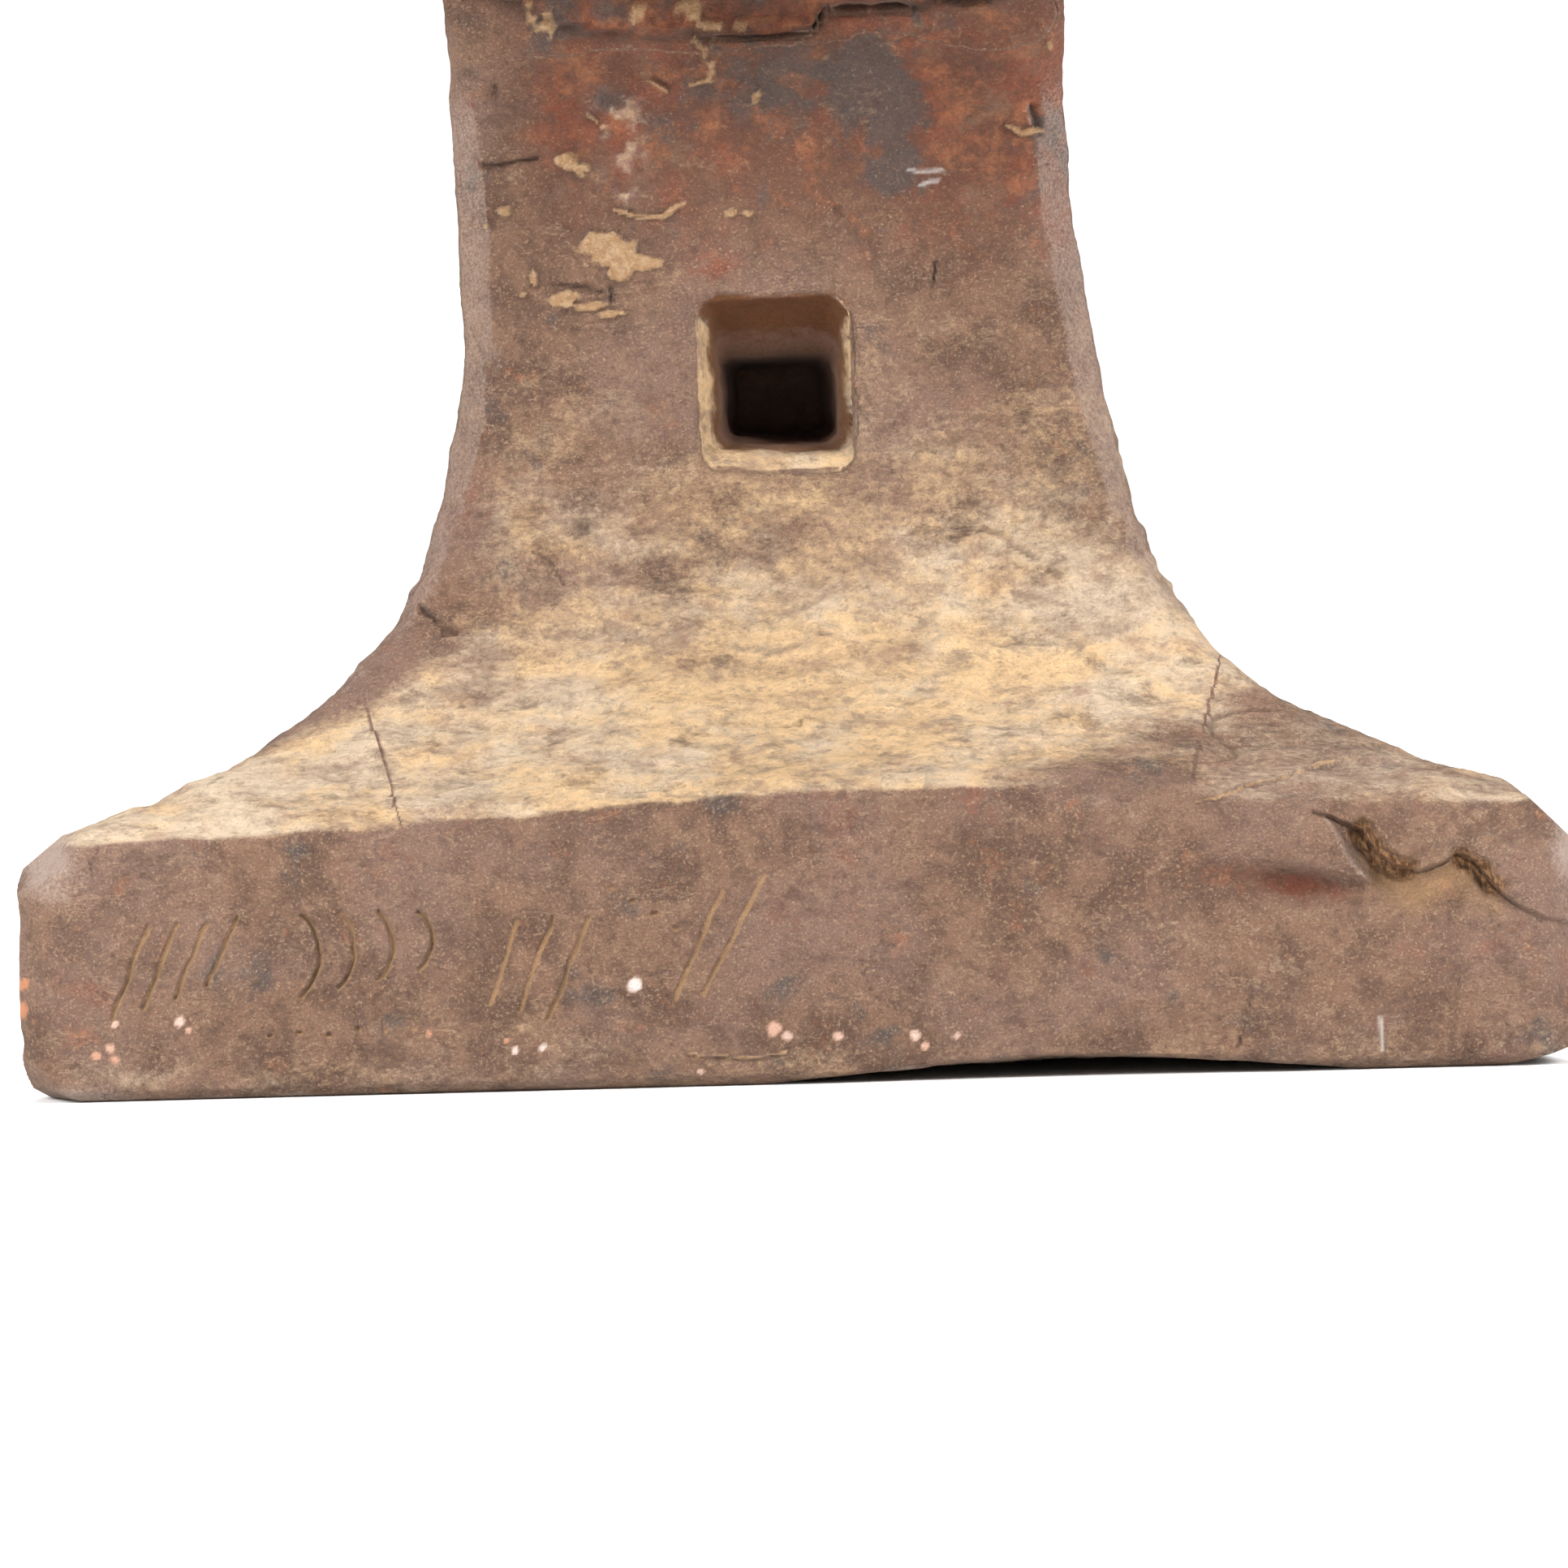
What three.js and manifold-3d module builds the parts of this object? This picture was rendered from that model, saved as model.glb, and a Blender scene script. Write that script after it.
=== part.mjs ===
// A smith's anvil of the London pattern, built up the old way from eight forgings.
//
// A core block carries four foot corners, the horn with its table, the heel and a steel face
// plate, each laid on at a flat scarf and forge-welded. The frame has its origin in the middle
// of the foot's underside: +X to the right seen from the horn, +Y towards the heel, +Z up.
// All sizes are in millimetres.

import * as THREE from "three";
import { mergeVertices } from "three/addons/utils/BufferGeometryUtils.js";
import Module from "manifold-3d";

const wasm = await Module();
wasm.setup();
const { lerp, clamp } = THREE.MathUtils;

// Driving dimensions
const FACE_HEIGHT = 275; // working face above the floor
const PLATE_THICKNESS = 14; // steel plate, and so the step down to the table
const TABLE_TOP = FACE_HEIGHT - PLATE_THICKNESS;
const FACE_WIDTH = 102;
const STEP_Y = -145; // front end of the face plate
const TABLE_END_Y = -205;
const HORN_TIP_Y = -435;
const HEEL_END_Y = 215;

const FOOT_LENGTH = 250;
const FOOT_WIDTH = { front: 234, rear: 217 };
const FOOT_EDGE = { front: 38.5, rear: 35.5 }; // height of the foot's upright edge at its corners
const FOOT_CROWN = 5.5; // how much that edge rises in the middle of each end
const FOOT_SCALLOP = 13; // hollow of the foot's long sides, in plan
const WAIST_WIDTH = 95;
const WAIST_LENGTH = 146;
const WAIST_HEIGHT = 130; // where the flare of the foot has died out
const FLARE_POWER = 4; // how quickly it dies out
const BODY_LENGTH = 184; // core block above the shoulder
const SHOULDER = { from: 138, to: 166, power: 2.5 }; // levels between which the body lengthens
const WIDENING = { from: 165, to: 235 }; // levels between which the body widens to the face
const CORNER_RADIUS = { foot: 6, waist: 7, face: 2 }; // upright arrises, in plan

const WELD_GAP = 0.3; // left open between neighbouring forgings

// Where each weld plane crosses the outside: [distance from the middle, height], twice.
const END_SCARF = { low: [80, 159], high: [99, TABLE_TOP] };
const CORNER_SCARF = { low: [44, 0], high: [68, 66] };

// Holes
const HARDY = { size: 24, y: 155 };
const PRITCHEL = { radius: 6.5, x: -26, y: 192 };
const HANDLING_HOLE = { width: 22, height: 26, depth: 54, z: 105, taper: 0.72 };
const FOOT_HOLLOW = { x: 40, chord: 94, rise: 3, reach: 66 }; // lifted stretch of the front edge

const BEYOND = 2000; // longer than anything in the model

// ---- Solids and geometries ------------------------------------------------------------

function solidOf(geometry) {
  const bare = geometry.clone();
  bare.deleteAttribute("normal");
  bare.deleteAttribute("uv");
  const merged = mergeVertices(bare, 1e-3);
  return new wasm.Manifold(
    new wasm.Mesh({
      numProp: 3,
      vertProperties: merged.attributes.position.array,
      triVerts: new Uint32Array(merged.index.array),
    }),
  );
}

function geometryOf(solid) {
  const mesh = solid.getMesh();
  const geometry = new THREE.BufferGeometry();
  geometry.setAttribute("position", new THREE.BufferAttribute(mesh.vertProperties, 3));
  geometry.setIndex(new THREE.BufferAttribute(mesh.triVerts, 1));
  geometry.computeVertexNormals();
  return geometry;
}

// The fan of triangles that closes one end of a loft.
function cap(points, first, count, turned) {
  const centre = new THREE.Vector3();
  for (let i = 0; i < count; i++) centre.addScaledVector(points[first + i], 1 / count);
  const hub = points.push(centre) - 1;
  const faces = [];
  for (let i = 0; i < count; i++) {
    const a = first + i;
    const b = first + ((i + 1) % count);
    faces.push(...(turned ? [b, a, hub] : [a, b, hub]));
  }
  return faces;
}

// A closed skin over rings of equal length, each turning anticlockwise seen from the last ring.
function loft(rings) {
  const count = rings[0].length;
  const points = rings.flat();
  const faces = [];
  for (let level = 0; level + 1 < rings.length; level++) {
    for (let i = 0; i < count; i++) {
      const a = level * count + i;
      const b = level * count + ((i + 1) % count);
      faces.push(a, b, b + count, a, b + count, a + count);
    }
  }
  const lastRing = (rings.length - 1) * count;
  faces.push(...cap(points, 0, count, true), ...cap(points, lastRing, count, false));
  return new THREE.BufferGeometry().setFromPoints(points).setIndex(faces);
}

// Everything on the side of a plane that its normal points to, less half a weld gap.
function halfSpace(point, normal) {
  const up = new THREE.Vector3(0, 0, 1);
  const out = new THREE.Vector3(...normal).normalize();
  const geometry = new THREE.BoxGeometry(BEYOND, BEYOND, BEYOND);
  geometry.translate(0, 0, BEYOND / 2 + WELD_GAP / 2);
  geometry.applyQuaternion(new THREE.Quaternion().setFromUnitVectors(up, out));
  geometry.translate(...point);
  return solidOf(geometry);
}

// ---- Foot, waist and upper body -------------------------------------------------------

// A rectangle with rounded corners, anticlockwise, with the same number of points at any size.
function roundedRectangle(halfWidth, halfLength, radius) {
  const arcSteps = 4;
  const sideSteps = 10;
  const corners = [[1, 1], [-1, 1], [-1, -1], [1, -1]];
  const outline = [];
  corners.forEach(([signX, signY], corner) => {
    for (let i = 0; i <= arcSteps; i++) {
      const angle = ((corner + i / arcSteps) * Math.PI) / 2;
      outline.push([
        signX * (halfWidth - radius) + radius * Math.cos(angle),
        signY * (halfLength - radius) + radius * Math.sin(angle),
      ]);
    }
    const [fromX, fromY] = outline.at(-1);
    const [nextX, nextY] = corners[(corner + 1) % 4];
    const toX = nextX * (halfWidth - (corner % 2 ? 0 : radius));
    const toY = nextY * (halfLength - (corner % 2 ? radius : 0));
    for (let i = 1; i < sideSteps; i++) {
      outline.push([lerp(fromX, toX, i / sideSteps), lerp(fromY, toY, i / sideSteps)]);
    }
  });
  return outline;
}

// 0 at the waist and 1 close under the face.
function nearFace(z) {
  return THREE.MathUtils.smoothstep(z, WIDENING.from, WIDENING.to);
}

// Width of everything above the flare: waist, table block and heel share it, so they are flush.
function upperWidth(z) {
  return lerp(WAIST_WIDTH, FACE_WIDTH, nearFace(z));
}

// One level of the body. open is 1 at the foot's edge and 0 at the waist; inset rounds the
// foot's arrises.
function bodyRing(z, open, inset = 0) {
  const rise = (z - SHOULDER.from) / (SHOULDER.to - SHOULDER.from);
  const overWaist = clamp(rise, 0, 1) ** SHOULDER.power;
  const upperLength = lerp(WAIST_LENGTH, BODY_LENGTH, overWaist);
  const halfWidth = lerp(upperWidth(z), FOOT_WIDTH.front, open) / 2 - inset;
  const halfLength = lerp(upperLength, FOOT_LENGTH, open) / 2 - inset;
  const upperRadius = lerp(CORNER_RADIUS.waist, CORNER_RADIUS.face, nearFace(z));
  const radius = lerp(upperRadius, CORNER_RADIUS.foot, open);
  return roundedRectangle(halfWidth, halfLength, radius).map(([x, y]) => {
    const across = x / halfWidth;
    const along = y / halfLength;
    const rearwards = open * (0.5 + 0.5 * along);
    const narrowing = lerp(1, FOOT_WIDTH.rear / FOOT_WIDTH.front, rearwards);
    const scallop = FOOT_SCALLOP * open * Math.max(0, 1 - along ** 2) ** 2 * across ** 7;
    const heightShare = Math.min(1, z / FOOT_EDGE.front);
    const crown = FOOT_CROWN * (1 - across ** 2);
    const drop = (FOOT_EDGE.front - FOOT_EDGE.rear) * (0.5 + 0.5 * along);
    const lift = (crown - drop) * open * heightShare ** 6;
    return new THREE.Vector3(x * narrowing - scallop, y, z + lift);
  });
}

const UPPER_LEVELS = [138, 144, 149, 154, 158, 162, 166, 180, 195, 210, 225, 235, FACE_HEIGHT];

function body() {
  const edge = FOOT_EDGE.front;
  const rings = [
    bodyRing(0, 1, 1.8),
    bodyRing(0.7, 1, 0.6),
    bodyRing(2.4, 1),
    bodyRing(18, 1),
    bodyRing(edge - 1.8, 1),
    bodyRing(edge - 0.5, 1, 0.7),
  ];
  const flareLevels = 18;
  for (let i = 1; i <= flareLevels; i++) {
    const share = (i / flareLevels) ** 1.3;
    const z = lerp(edge, WAIST_HEIGHT, share);
    rings.push(bodyRing(z, (1 - share) ** FLARE_POWER));
  }
  for (const z of UPPER_LEVELS) rings.push(bodyRing(z, 0));
  return solidOf(loft(rings));
}

// ---- Horn with its table, and heel ----------------------------------------------------

// An upright oval section across the anvil. A power of 2 is an ellipse, and larger powers are
// nearer a rectangle. The end is -1 for a loft that runs to the horn and 1 for the heel.
function crossSection(y, halfWidth, bottom, top, power, end) {
  const steps = 40;
  const ring = [];
  for (let i = 0; i < steps; i++) {
    const angle = ((i + 0.5) / steps) * 2 * Math.PI * -end;
    const c = Math.cos(angle);
    const s = Math.sin(angle);
    const x = halfWidth * Math.sign(c) * Math.abs(c) ** (2 / power);
    const z = ((top - bottom) / 2) * Math.sign(s) * Math.abs(s) ** (2 / power);
    ring.push(new THREE.Vector3(x, y, (bottom + top) / 2 + z));
  }
  return ring;
}

// The blocks under the table and the heel have an oval section of twice their height, whose
// upper half is cut away: their sides follow the body's at the top.
function blockSection(y, inset, bottom, power, end) {
  const ring = crossSection(y, FACE_WIDTH / 2 - inset, bottom, 2 * TABLE_TOP - bottom, power, end);
  for (const point of ring) point.x *= upperWidth(point.z) / FACE_WIDTH;
  return ring;
}

// Each station is [y, inset of its sides, height of its underside].
const TABLE_STATIONS = [
  [-60, 0.3, 159],
  [-88, 0, 159.5],
  [-118, 0, 160.5],
  [STEP_Y, 0, 162],
  [-175, 0, 163.5],
  [TABLE_END_Y + 3, 0, 165],
  [TABLE_END_Y, 1.5, 166.5],
];
const HEEL_STATIONS = [
  [60, 0.3, 160],
  [88, 0, 161],
  [104, 0, 166],
  [125, 0, 175.5],
  [155, 0, 191.5],
  [185, 0, 206],
  [HEEL_END_Y - 3, 0, 217.5],
  [HEEL_END_Y, 1, 220.5],
];
const UNDERSIDE_POWER = { table: 4.5, heel: 9 }; // how square the undersides' edges are

function tableBlock() {
  const power = UNDERSIDE_POWER.table;
  const rings = TABLE_STATIONS.map(([y, inset, z]) => blockSection(y, inset, z, power, -1));
  return solidOf(loft(rings));
}

function heelBlock() {
  const power = UNDERSIDE_POWER.heel;
  const rings = HEEL_STATIONS.map(([y, inset, z]) => blockSection(y, inset, z, power, 1));
  return solidOf(loft(rings));
}

function horn() {
  const radius = { root: 45.5, tip: 8.5 };
  const rootBroadening = 1.08; // the root is wider than it is deep
  const belly = 0.88; // below 1 the cone's sides bulge a little
  const topHeight = { root: TABLE_TOP - 3, tip: TABLE_TOP + 5 };
  const sweep = 1.6; // how late the top line rises to the tip
  const inBlock = 6; // how far the cone runs back inside the block
  const roundLength = radius.tip * 0.8;
  const rings = [];
  const levels = 24;
  for (let i = 0; i <= levels; i++) {
    const along = i / levels;
    const bulk = lerp(radius.tip, radius.root, (1 - along) ** belly);
    const top = lerp(topHeight.root, topHeight.tip, along ** sweep);
    const power = 2 + 0.7 * (1 - along) ** 5;
    const y = lerp(TABLE_END_Y + inBlock, HORN_TIP_Y + roundLength, along);
    const halfWidth = bulk * lerp(rootBroadening, 1, along);
    rings.push(crossSection(y, halfWidth, top - 2 * bulk, top, power, -1));
  }
  const middle = topHeight.tip - radius.tip;
  for (const turn of [0.3, 0.6, 0.85]) {
    const angle = (turn * Math.PI) / 2;
    const half = radius.tip * Math.cos(angle);
    const y = HORN_TIP_Y + roundLength * (1 - Math.sin(angle));
    rings.push(crossSection(y, half, middle - half, middle + half, 2, -1));
  }
  return solidOf(loft(rings));
}

// ---- Holes ----------------------------------------------------------------------------

function hardyHole() {
  const geometry = new THREE.BoxGeometry(HARDY.size, HARDY.size, FACE_HEIGHT);
  return solidOf(geometry.translate(0, HARDY.y, FACE_HEIGHT));
}

function pritchelHole() {
  const geometry = new THREE.CylinderGeometry(PRITCHEL.radius, PRITCHEL.radius, FACE_HEIGHT, 32);
  geometry.rotateX(Math.PI / 2);
  return solidOf(geometry.translate(PRITCHEL.x, PRITCHEL.y, FACE_HEIGHT));
}

// A square punched socket for a porter bar, narrowing inwards; end is -1 under the horn.
function handlingHole(end) {
  const { width, height, depth, z, taper } = HANDLING_HOLE;
  const outside = 6; // the punch's own length beyond the surface
  const unitSquare = Math.SQRT1_2; // radius of a four-sided cylinder with sides of 1
  const outerRadius = unitSquare * (1 + ((1 - taper) * outside) / depth);
  const geometry = new THREE.CylinderGeometry(outerRadius, unitSquare * taper, depth + outside, 4);
  geometry.rotateY(Math.PI / 4);
  geometry.scale(width, 1, height);
  geometry.translate(0, (depth + outside) / 2 - depth, 0);
  if (end < 0) geometry.rotateZ(Math.PI);
  return solidOf(geometry.translate(0, (end * WAIST_LENGTH) / 2, z));
}

// A shallow scoop that lifts part of the front edge off the floor and fades out inwards.
function footHollow() {
  const { x, chord, rise, reach } = FOOT_HOLLOW;
  const radius = ((chord / 2) ** 2 + rise ** 2) / (2 * rise);
  const geometry = new THREE.CylinderGeometry(radius, radius, 4 * reach, 240);
  geometry.translate(0, 0, rise - radius);
  geometry.rotateX(-Math.atan(rise / reach));
  return solidOf(geometry.translate(x, -FOOT_LENGTH / 2, 0));
}

// ---- The whole outside, and the forgings it divides into -------------------------------

function envelope() {
  const aboveTable = halfSpace([0, 0, TABLE_TOP - WELD_GAP / 2], [0, 0, 1]);
  const blocks = tableBlock().add(heelBlock()).subtract(aboveTable);
  const facing = new THREE.BoxGeometry(FACE_WIDTH, HEEL_END_Y - STEP_Y, PLATE_THICKNESS + 1);
  facing.translate(0, (HEEL_END_Y + STEP_Y) / 2, FACE_HEIGHT - (PLATE_THICKNESS + 1) / 2);
  let whole = body().add(blocks).add(horn()).add(solidOf(facing));
  for (const hole of [hardyHole(), pritchelHole(), handlingHole(-1), handlingHole(1), footHollow()]) {
    whole = whole.subtract(hole);
  }
  return whole;
}

const INWARDS = -1;
const OUTWARDS = 1;
const whole = envelope();
const aboveFlare = halfSpace([0, 0, WAIST_HEIGHT], [0, 0, 1]);
const aroundPlate = halfSpace([0, STEP_Y - 1, 0], [0, 1, 0]);
const plateRoom = halfSpace([0, 0, TABLE_TOP - WELD_GAP / 2], [0, 0, 1]).intersect(aroundPlate);
const underPlate = whole.subtract(plateRoom);

// The core's own side of a scarf or the other forging's, at the horn (end -1) or heel (end 1).
function endScarf(end, side) {
  const [y, z] = END_SCARF.low;
  const [highY, highZ] = END_SCARF.high;
  return halfSpace([0, end * y, z], [0, side * end * (highZ - z), side * (y - highY)]);
}

// The same for the foot corners on the left (flank -1) or right (flank 1).
function cornerScarf(flank, side) {
  const [x, z] = CORNER_SCARF.low;
  const [highX, highZ] = CORNER_SCARF.high;
  return halfSpace([flank * x, 0, z], [side * flank * (highZ - z), 0, side * (x - highX)]);
}

function corePiece() {
  let core = underPlate;
  for (const sign of [-1, 1]) {
    core = core.subtract(aboveFlare.subtract(endScarf(sign, INWARDS)));
    core = core.intersect(cornerScarf(sign, INWARDS));
  }
  return core;
}

function endPiece(end) {
  return underPlate.intersect(aboveFlare).intersect(endScarf(end, OUTWARDS));
}

function cornerPiece(end, flank) {
  const ownEnd = halfSpace([0, 0, 0], [0, end, 0]);
  return underPlate.intersect(cornerScarf(flank, OUTWARDS)).intersect(ownEnd);
}

function facePlate() {
  const aboveTable = halfSpace([0, 0, TABLE_TOP + WELD_GAP / 2], [0, 0, 1]);
  return whole.intersect(aboveTable).intersect(aroundPlate);
}

// ---- The assembly ---------------------------------------------------------------------

const wroughtIron = { color: 0x6e5149, roughness: 0.82, metalness: 0.35 };
const toolSteel = { color: 0x7b746f, roughness: 0.45, metalness: 0.8 };

const anvil = new THREE.Group();

function addForging(name, solid, finish) {
  const forging = new THREE.Mesh(geometryOf(solid), new THREE.MeshStandardMaterial(finish));
  forging.name = name;
  anvil.add(forging);
}

addForging("core_block", corePiece(), wroughtIron);
addForging("horn", endPiece(-1), wroughtIron);
addForging("heel", endPiece(1), wroughtIron);
for (const [endName, end] of [["front", -1], ["rear", 1]]) {
  for (const [flankName, flank] of [["left", -1], ["right", 1]]) {
    addForging(`${endName}_${flankName}_foot_corner`, cornerPiece(end, flank), wroughtIron);
  }
}
addForging("face_plate", facePlate(), toolSteel);

export default anvil;
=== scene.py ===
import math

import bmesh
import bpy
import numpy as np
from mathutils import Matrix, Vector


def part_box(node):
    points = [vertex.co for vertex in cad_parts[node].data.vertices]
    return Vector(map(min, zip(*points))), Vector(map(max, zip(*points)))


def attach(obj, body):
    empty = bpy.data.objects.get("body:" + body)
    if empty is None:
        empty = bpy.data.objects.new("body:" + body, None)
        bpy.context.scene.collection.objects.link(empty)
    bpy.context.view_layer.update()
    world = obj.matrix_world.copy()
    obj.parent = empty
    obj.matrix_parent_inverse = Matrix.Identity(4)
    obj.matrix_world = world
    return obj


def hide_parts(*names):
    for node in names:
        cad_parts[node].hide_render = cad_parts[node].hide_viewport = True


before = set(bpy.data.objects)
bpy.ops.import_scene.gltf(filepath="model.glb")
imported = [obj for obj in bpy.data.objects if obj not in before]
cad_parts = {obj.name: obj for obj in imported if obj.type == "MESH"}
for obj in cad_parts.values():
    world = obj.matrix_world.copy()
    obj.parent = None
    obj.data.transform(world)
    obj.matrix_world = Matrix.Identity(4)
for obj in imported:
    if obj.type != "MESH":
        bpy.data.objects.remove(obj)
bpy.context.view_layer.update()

# Looks of an old forged anvil around its CAD model. The eight CAD forgings are fused into one
# skin, the skin is hammered, worn and cracked, and it is then cut along the weld planes into
# eight forgings again, so that the surface runs on unbroken from one to the next.
# Points and lengths are in millimetres, in the CAD's frame, where no comment says metres. Places
# on the horn end are given as (x, z), as they are seen from the front.

MM = 0.001

# ---- Sizes that the CAD settles ----

FOOT_FRONT_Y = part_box("core_block")[0].y / MM
FACE_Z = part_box("face_plate")[1].z / MM
FACE_HALF_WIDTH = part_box("face_plate")[1].x / MM
PLATE_BOTTOM_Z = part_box("core_block")[1].z / MM
STEP_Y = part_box("face_plate")[0].y / MM
TABLE_END_Y = -205
FOOT_EDGE_Z = 38.5
WAIST_FRONT_Y = -73
WAIST_Z = 130
HORN_WELD_Z = 159
# The lower and the upper end of a scarf, each as (distance from the middle, height).
END_SCARF = ((80, HORN_WELD_Z), (99, PLATE_BOTTOM_Z))
CORNER_SCARF = ((44, 0), (68, 66))
HOLE_X = -1.2  # the leaning waist carries the hole a little to the left
HOLE_Z = 105
HARDY_Y = 155
PRITCHEL = (-26, 192)

# ---- Sizes of the skin ----

INFLATE = 0.3  # closes the weld gaps between the CAD solids
VOXEL = 1.6  # side of a face before the horn end is refined
ARRIS_WIDTH = 5.5  # how much of waist and flare the flattened upright arrises take up
ROOT_LIP = 7  # how far the underside of the horn's iron is lifted where it starts


# ---- Numbers over many points ----

def ramp(value, low, high):
    """0 below low and 1 above high, with a smooth run between them; low may be above high."""
    t = np.clip((value - low) / (high - low), 0, 1)
    return t * t * (3 - 2 * t)


def bell(value, middle, width):
    return np.exp(-(((value - middle) / width) ** 2))


def spot(x, z, middle_x, middle_z, half_width, half_height):
    """1 at a place on the horn end, and fading away around it."""
    return bell(x, middle_x, half_width) * bell(z, middle_z, half_height)


def gradient_noise(points, wavelength, seed, stretch=(1, 1, 1)):
    """Smooth noise of about -1 to 1 at each point, with bumps about a wavelength across. A
    stretch over 1 makes them that much longer along its axis."""
    draw = np.random.default_rng(seed)
    order = draw.permutation(256)
    slopes = draw.normal(size=(256, 3))
    slopes /= np.linalg.norm(slopes, axis=1, keepdims=True)
    scaled = points / (wavelength * np.array(stretch))
    cell = np.floor(scaled).astype(int)
    inside = scaled - cell
    fade = inside ** 3 * (inside * (inside * 6 - 15) + 10)
    total = np.zeros(len(points))
    for corner in np.ndindex(2, 2, 2):
        offset = np.array(corner)
        x, y, z = ((cell + offset) & 255).T
        slope = slopes[order[(order[(order[x] + y) & 255] + z) & 255]]
        weight = np.where(offset, fade, 1 - fade).prod(axis=1)
        total += weight * (slope * (inside - offset)).sum(axis=1)
    return total * 1.7


def layered_noise(points, wavelength, seed, layers=3, gain=0.5, stretch=(1, 1, 1)):
    total = np.zeros(len(points))
    strength = 1
    for layer in range(layers):
        total += strength * gradient_noise(points, wavelength / 2 ** layer, seed + layer, stretch)
        strength *= gain
    return total


def distance_to_path(x, z, path):
    """Distance from each (x, z) to a path of straight stretches."""
    nearest = np.full(len(x), 1e6)
    for (x0, z0), (x1, z1) in zip(path, path[1:]):
        length2 = (x1 - x0) ** 2 + (z1 - z0) ** 2
        t = np.clip(((x - x0) * (x1 - x0) + (z - z0) * (z1 - z0)) / length2, 0, 1)
        nearest = np.minimum(nearest, np.hypot(x - x0 - t * (x1 - x0), z - z0 - t * (z1 - z0)))
    return nearest


def height_on(path, x):
    """Height of a path that runs from left to right, over each x."""
    path_x, path_z = np.array(path).T
    return np.interp(x, path_x, path_z)


# ---- A mesh as numbers ----

class Surface:
    """A mesh's points in millimetres, their outward directions and the edges between them."""

    def __init__(self, mesh):
        self.points = self.read(mesh.vertices, "co", 3) / MM
        self.normals = self.read(mesh.vertex_normals, "vector", 3)
        self.edges = np.empty(len(mesh.edges) * 2, np.int32)
        mesh.edges.foreach_get("vertices", self.edges)
        self.edges = self.edges.reshape(-1, 2)
        self.x, self.y, self.z = self.points.T
        self.nx, self.ny, self.nz = self.normals.T

    @staticmethod
    def read(rows, name, width):
        values = np.empty(len(rows) * width, np.float32)
        rows.foreach_get(name, values)
        return values.reshape(-1, width).astype(float)

    def proud(self, steps):
        """How far each point stands out from its wider neighbourhood: arrises are positive."""
        first, second = self.edges.T
        count = len(self.points)
        share = np.bincount(first, minlength=count) + np.bincount(second, minlength=count)
        relaxed = self.points.copy()
        for _ in range(steps):
            for axis in range(3):
                column = relaxed[:, axis]
                total = np.bincount(first, column[second], count)
                total += np.bincount(second, column[first], count)
                relaxed[:, axis] = total / share
        return ((self.points - relaxed) * self.normals).sum(axis=1)


def write_points(mesh, points):
    mesh.vertices.foreach_set("co", (points * MM).astype(np.float32).ravel())
    mesh.update()


# ---- Places on the horn end, seen from the front ----

LAP_CRACK = ((77.5, 38.8), (80.4, 37.9), (84.8, 35.8), (87.2, 32.2), (90.4, 30.2), (93, 29.4),
             (96.6, 31), (98.4, 32.2), (101.6, 30.6), (105, 26.8), (107.4, 24.3), (112, 22),
             (118.5, 20))
LAP_POCKETS = (((84.6, 35.6), (87.4, 32), (91, 29.8)),
               ((99.2, 31.6), (102.4, 29.6), (104.8, 27)))
# the lit edge of the lump's facet, where a highlight is painted
FACET_HIGHLIGHT_PATH = ((79.4, 37.8), (82.6, 33), (85.8, 28.2))
HORN_CRACK = ((-52, 170), (-38, 164.6), (-33, 161.6), (-24, 160), (-16.5, 159.2),
              (-2.8, 158.8), (6, 159.4), (7.6, 162), (18.5, 162.4), (28.5, 163.3),
              (36, 165), (52, 171))

# Each crack is its path, half its width and its depth.
CRACKS = (
    (((-39.5, 80.6), (-36.6, 79.4), (-34.6, 75.6)), 0.3, 0.4),
    (((-57, 72.8), (-54.6, 71), (-52.8, 69.4), (-51.2, 68.9)), 0.7, 1.1),
    (((-4.1, 54.3), (-1.5, 53.8), (1.3, 54.2)), 0.5, 0.7),
    (((-46.4, 49.3), (-40.2, 49)), 0.3, 0.4),
    (((-23.5, 44.9), (-19, 44.7), (-16.2, 45.5)), 0.3, 0.4),
    (((25.3, 81), (31.1, 82.6)), 0.3, 0.4),
    (((32.3, 64.6), (36, 65.2), (39.8, 64.4)), 0.3, 0.4),
    (((-46.2, 140.4), (-41.6, 140.6), (-37.3, 141.3)), 0.5, 0.9),
    (((-43.5, 152), (-43.2, 148.3)), 0.4, 0.8),
    (((24.3, 123.6), (23.6, 120), (23, 117.3)), 0.4, 0.8),
    (((40.2, 147), (40.6, 144.6)), 1.1, 1.2),
    (((9.2, 132.6), (9.4, 130.8)), 0.6, 0.9),
    (((-35.5, 121.6), (-31.5, 121.2), (-27.4, 120.2)), 0.7, 1.1),
    (((-26, 120.4), (-25.8, 117.6)), 1, 1.3),
    (((68, 11.4), (67.4, 8.6), (66, 4)), 0.6, 0.8),
)
# Each pit is its middle, radius and depth.
PITS = ((-31.2, 84.2, 1.3, 1.7), (38, 99.5, 0.8, 0.8), (-97.5, 34, 0.7, 0.6),
        (44, 24.5, 1.4, 0.8), (55.5, 15.6, 2.6, 0.7), (12.5, 31.6, 1.6, 0.6),
        (-60, 5, 1.1, 0.6))

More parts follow.
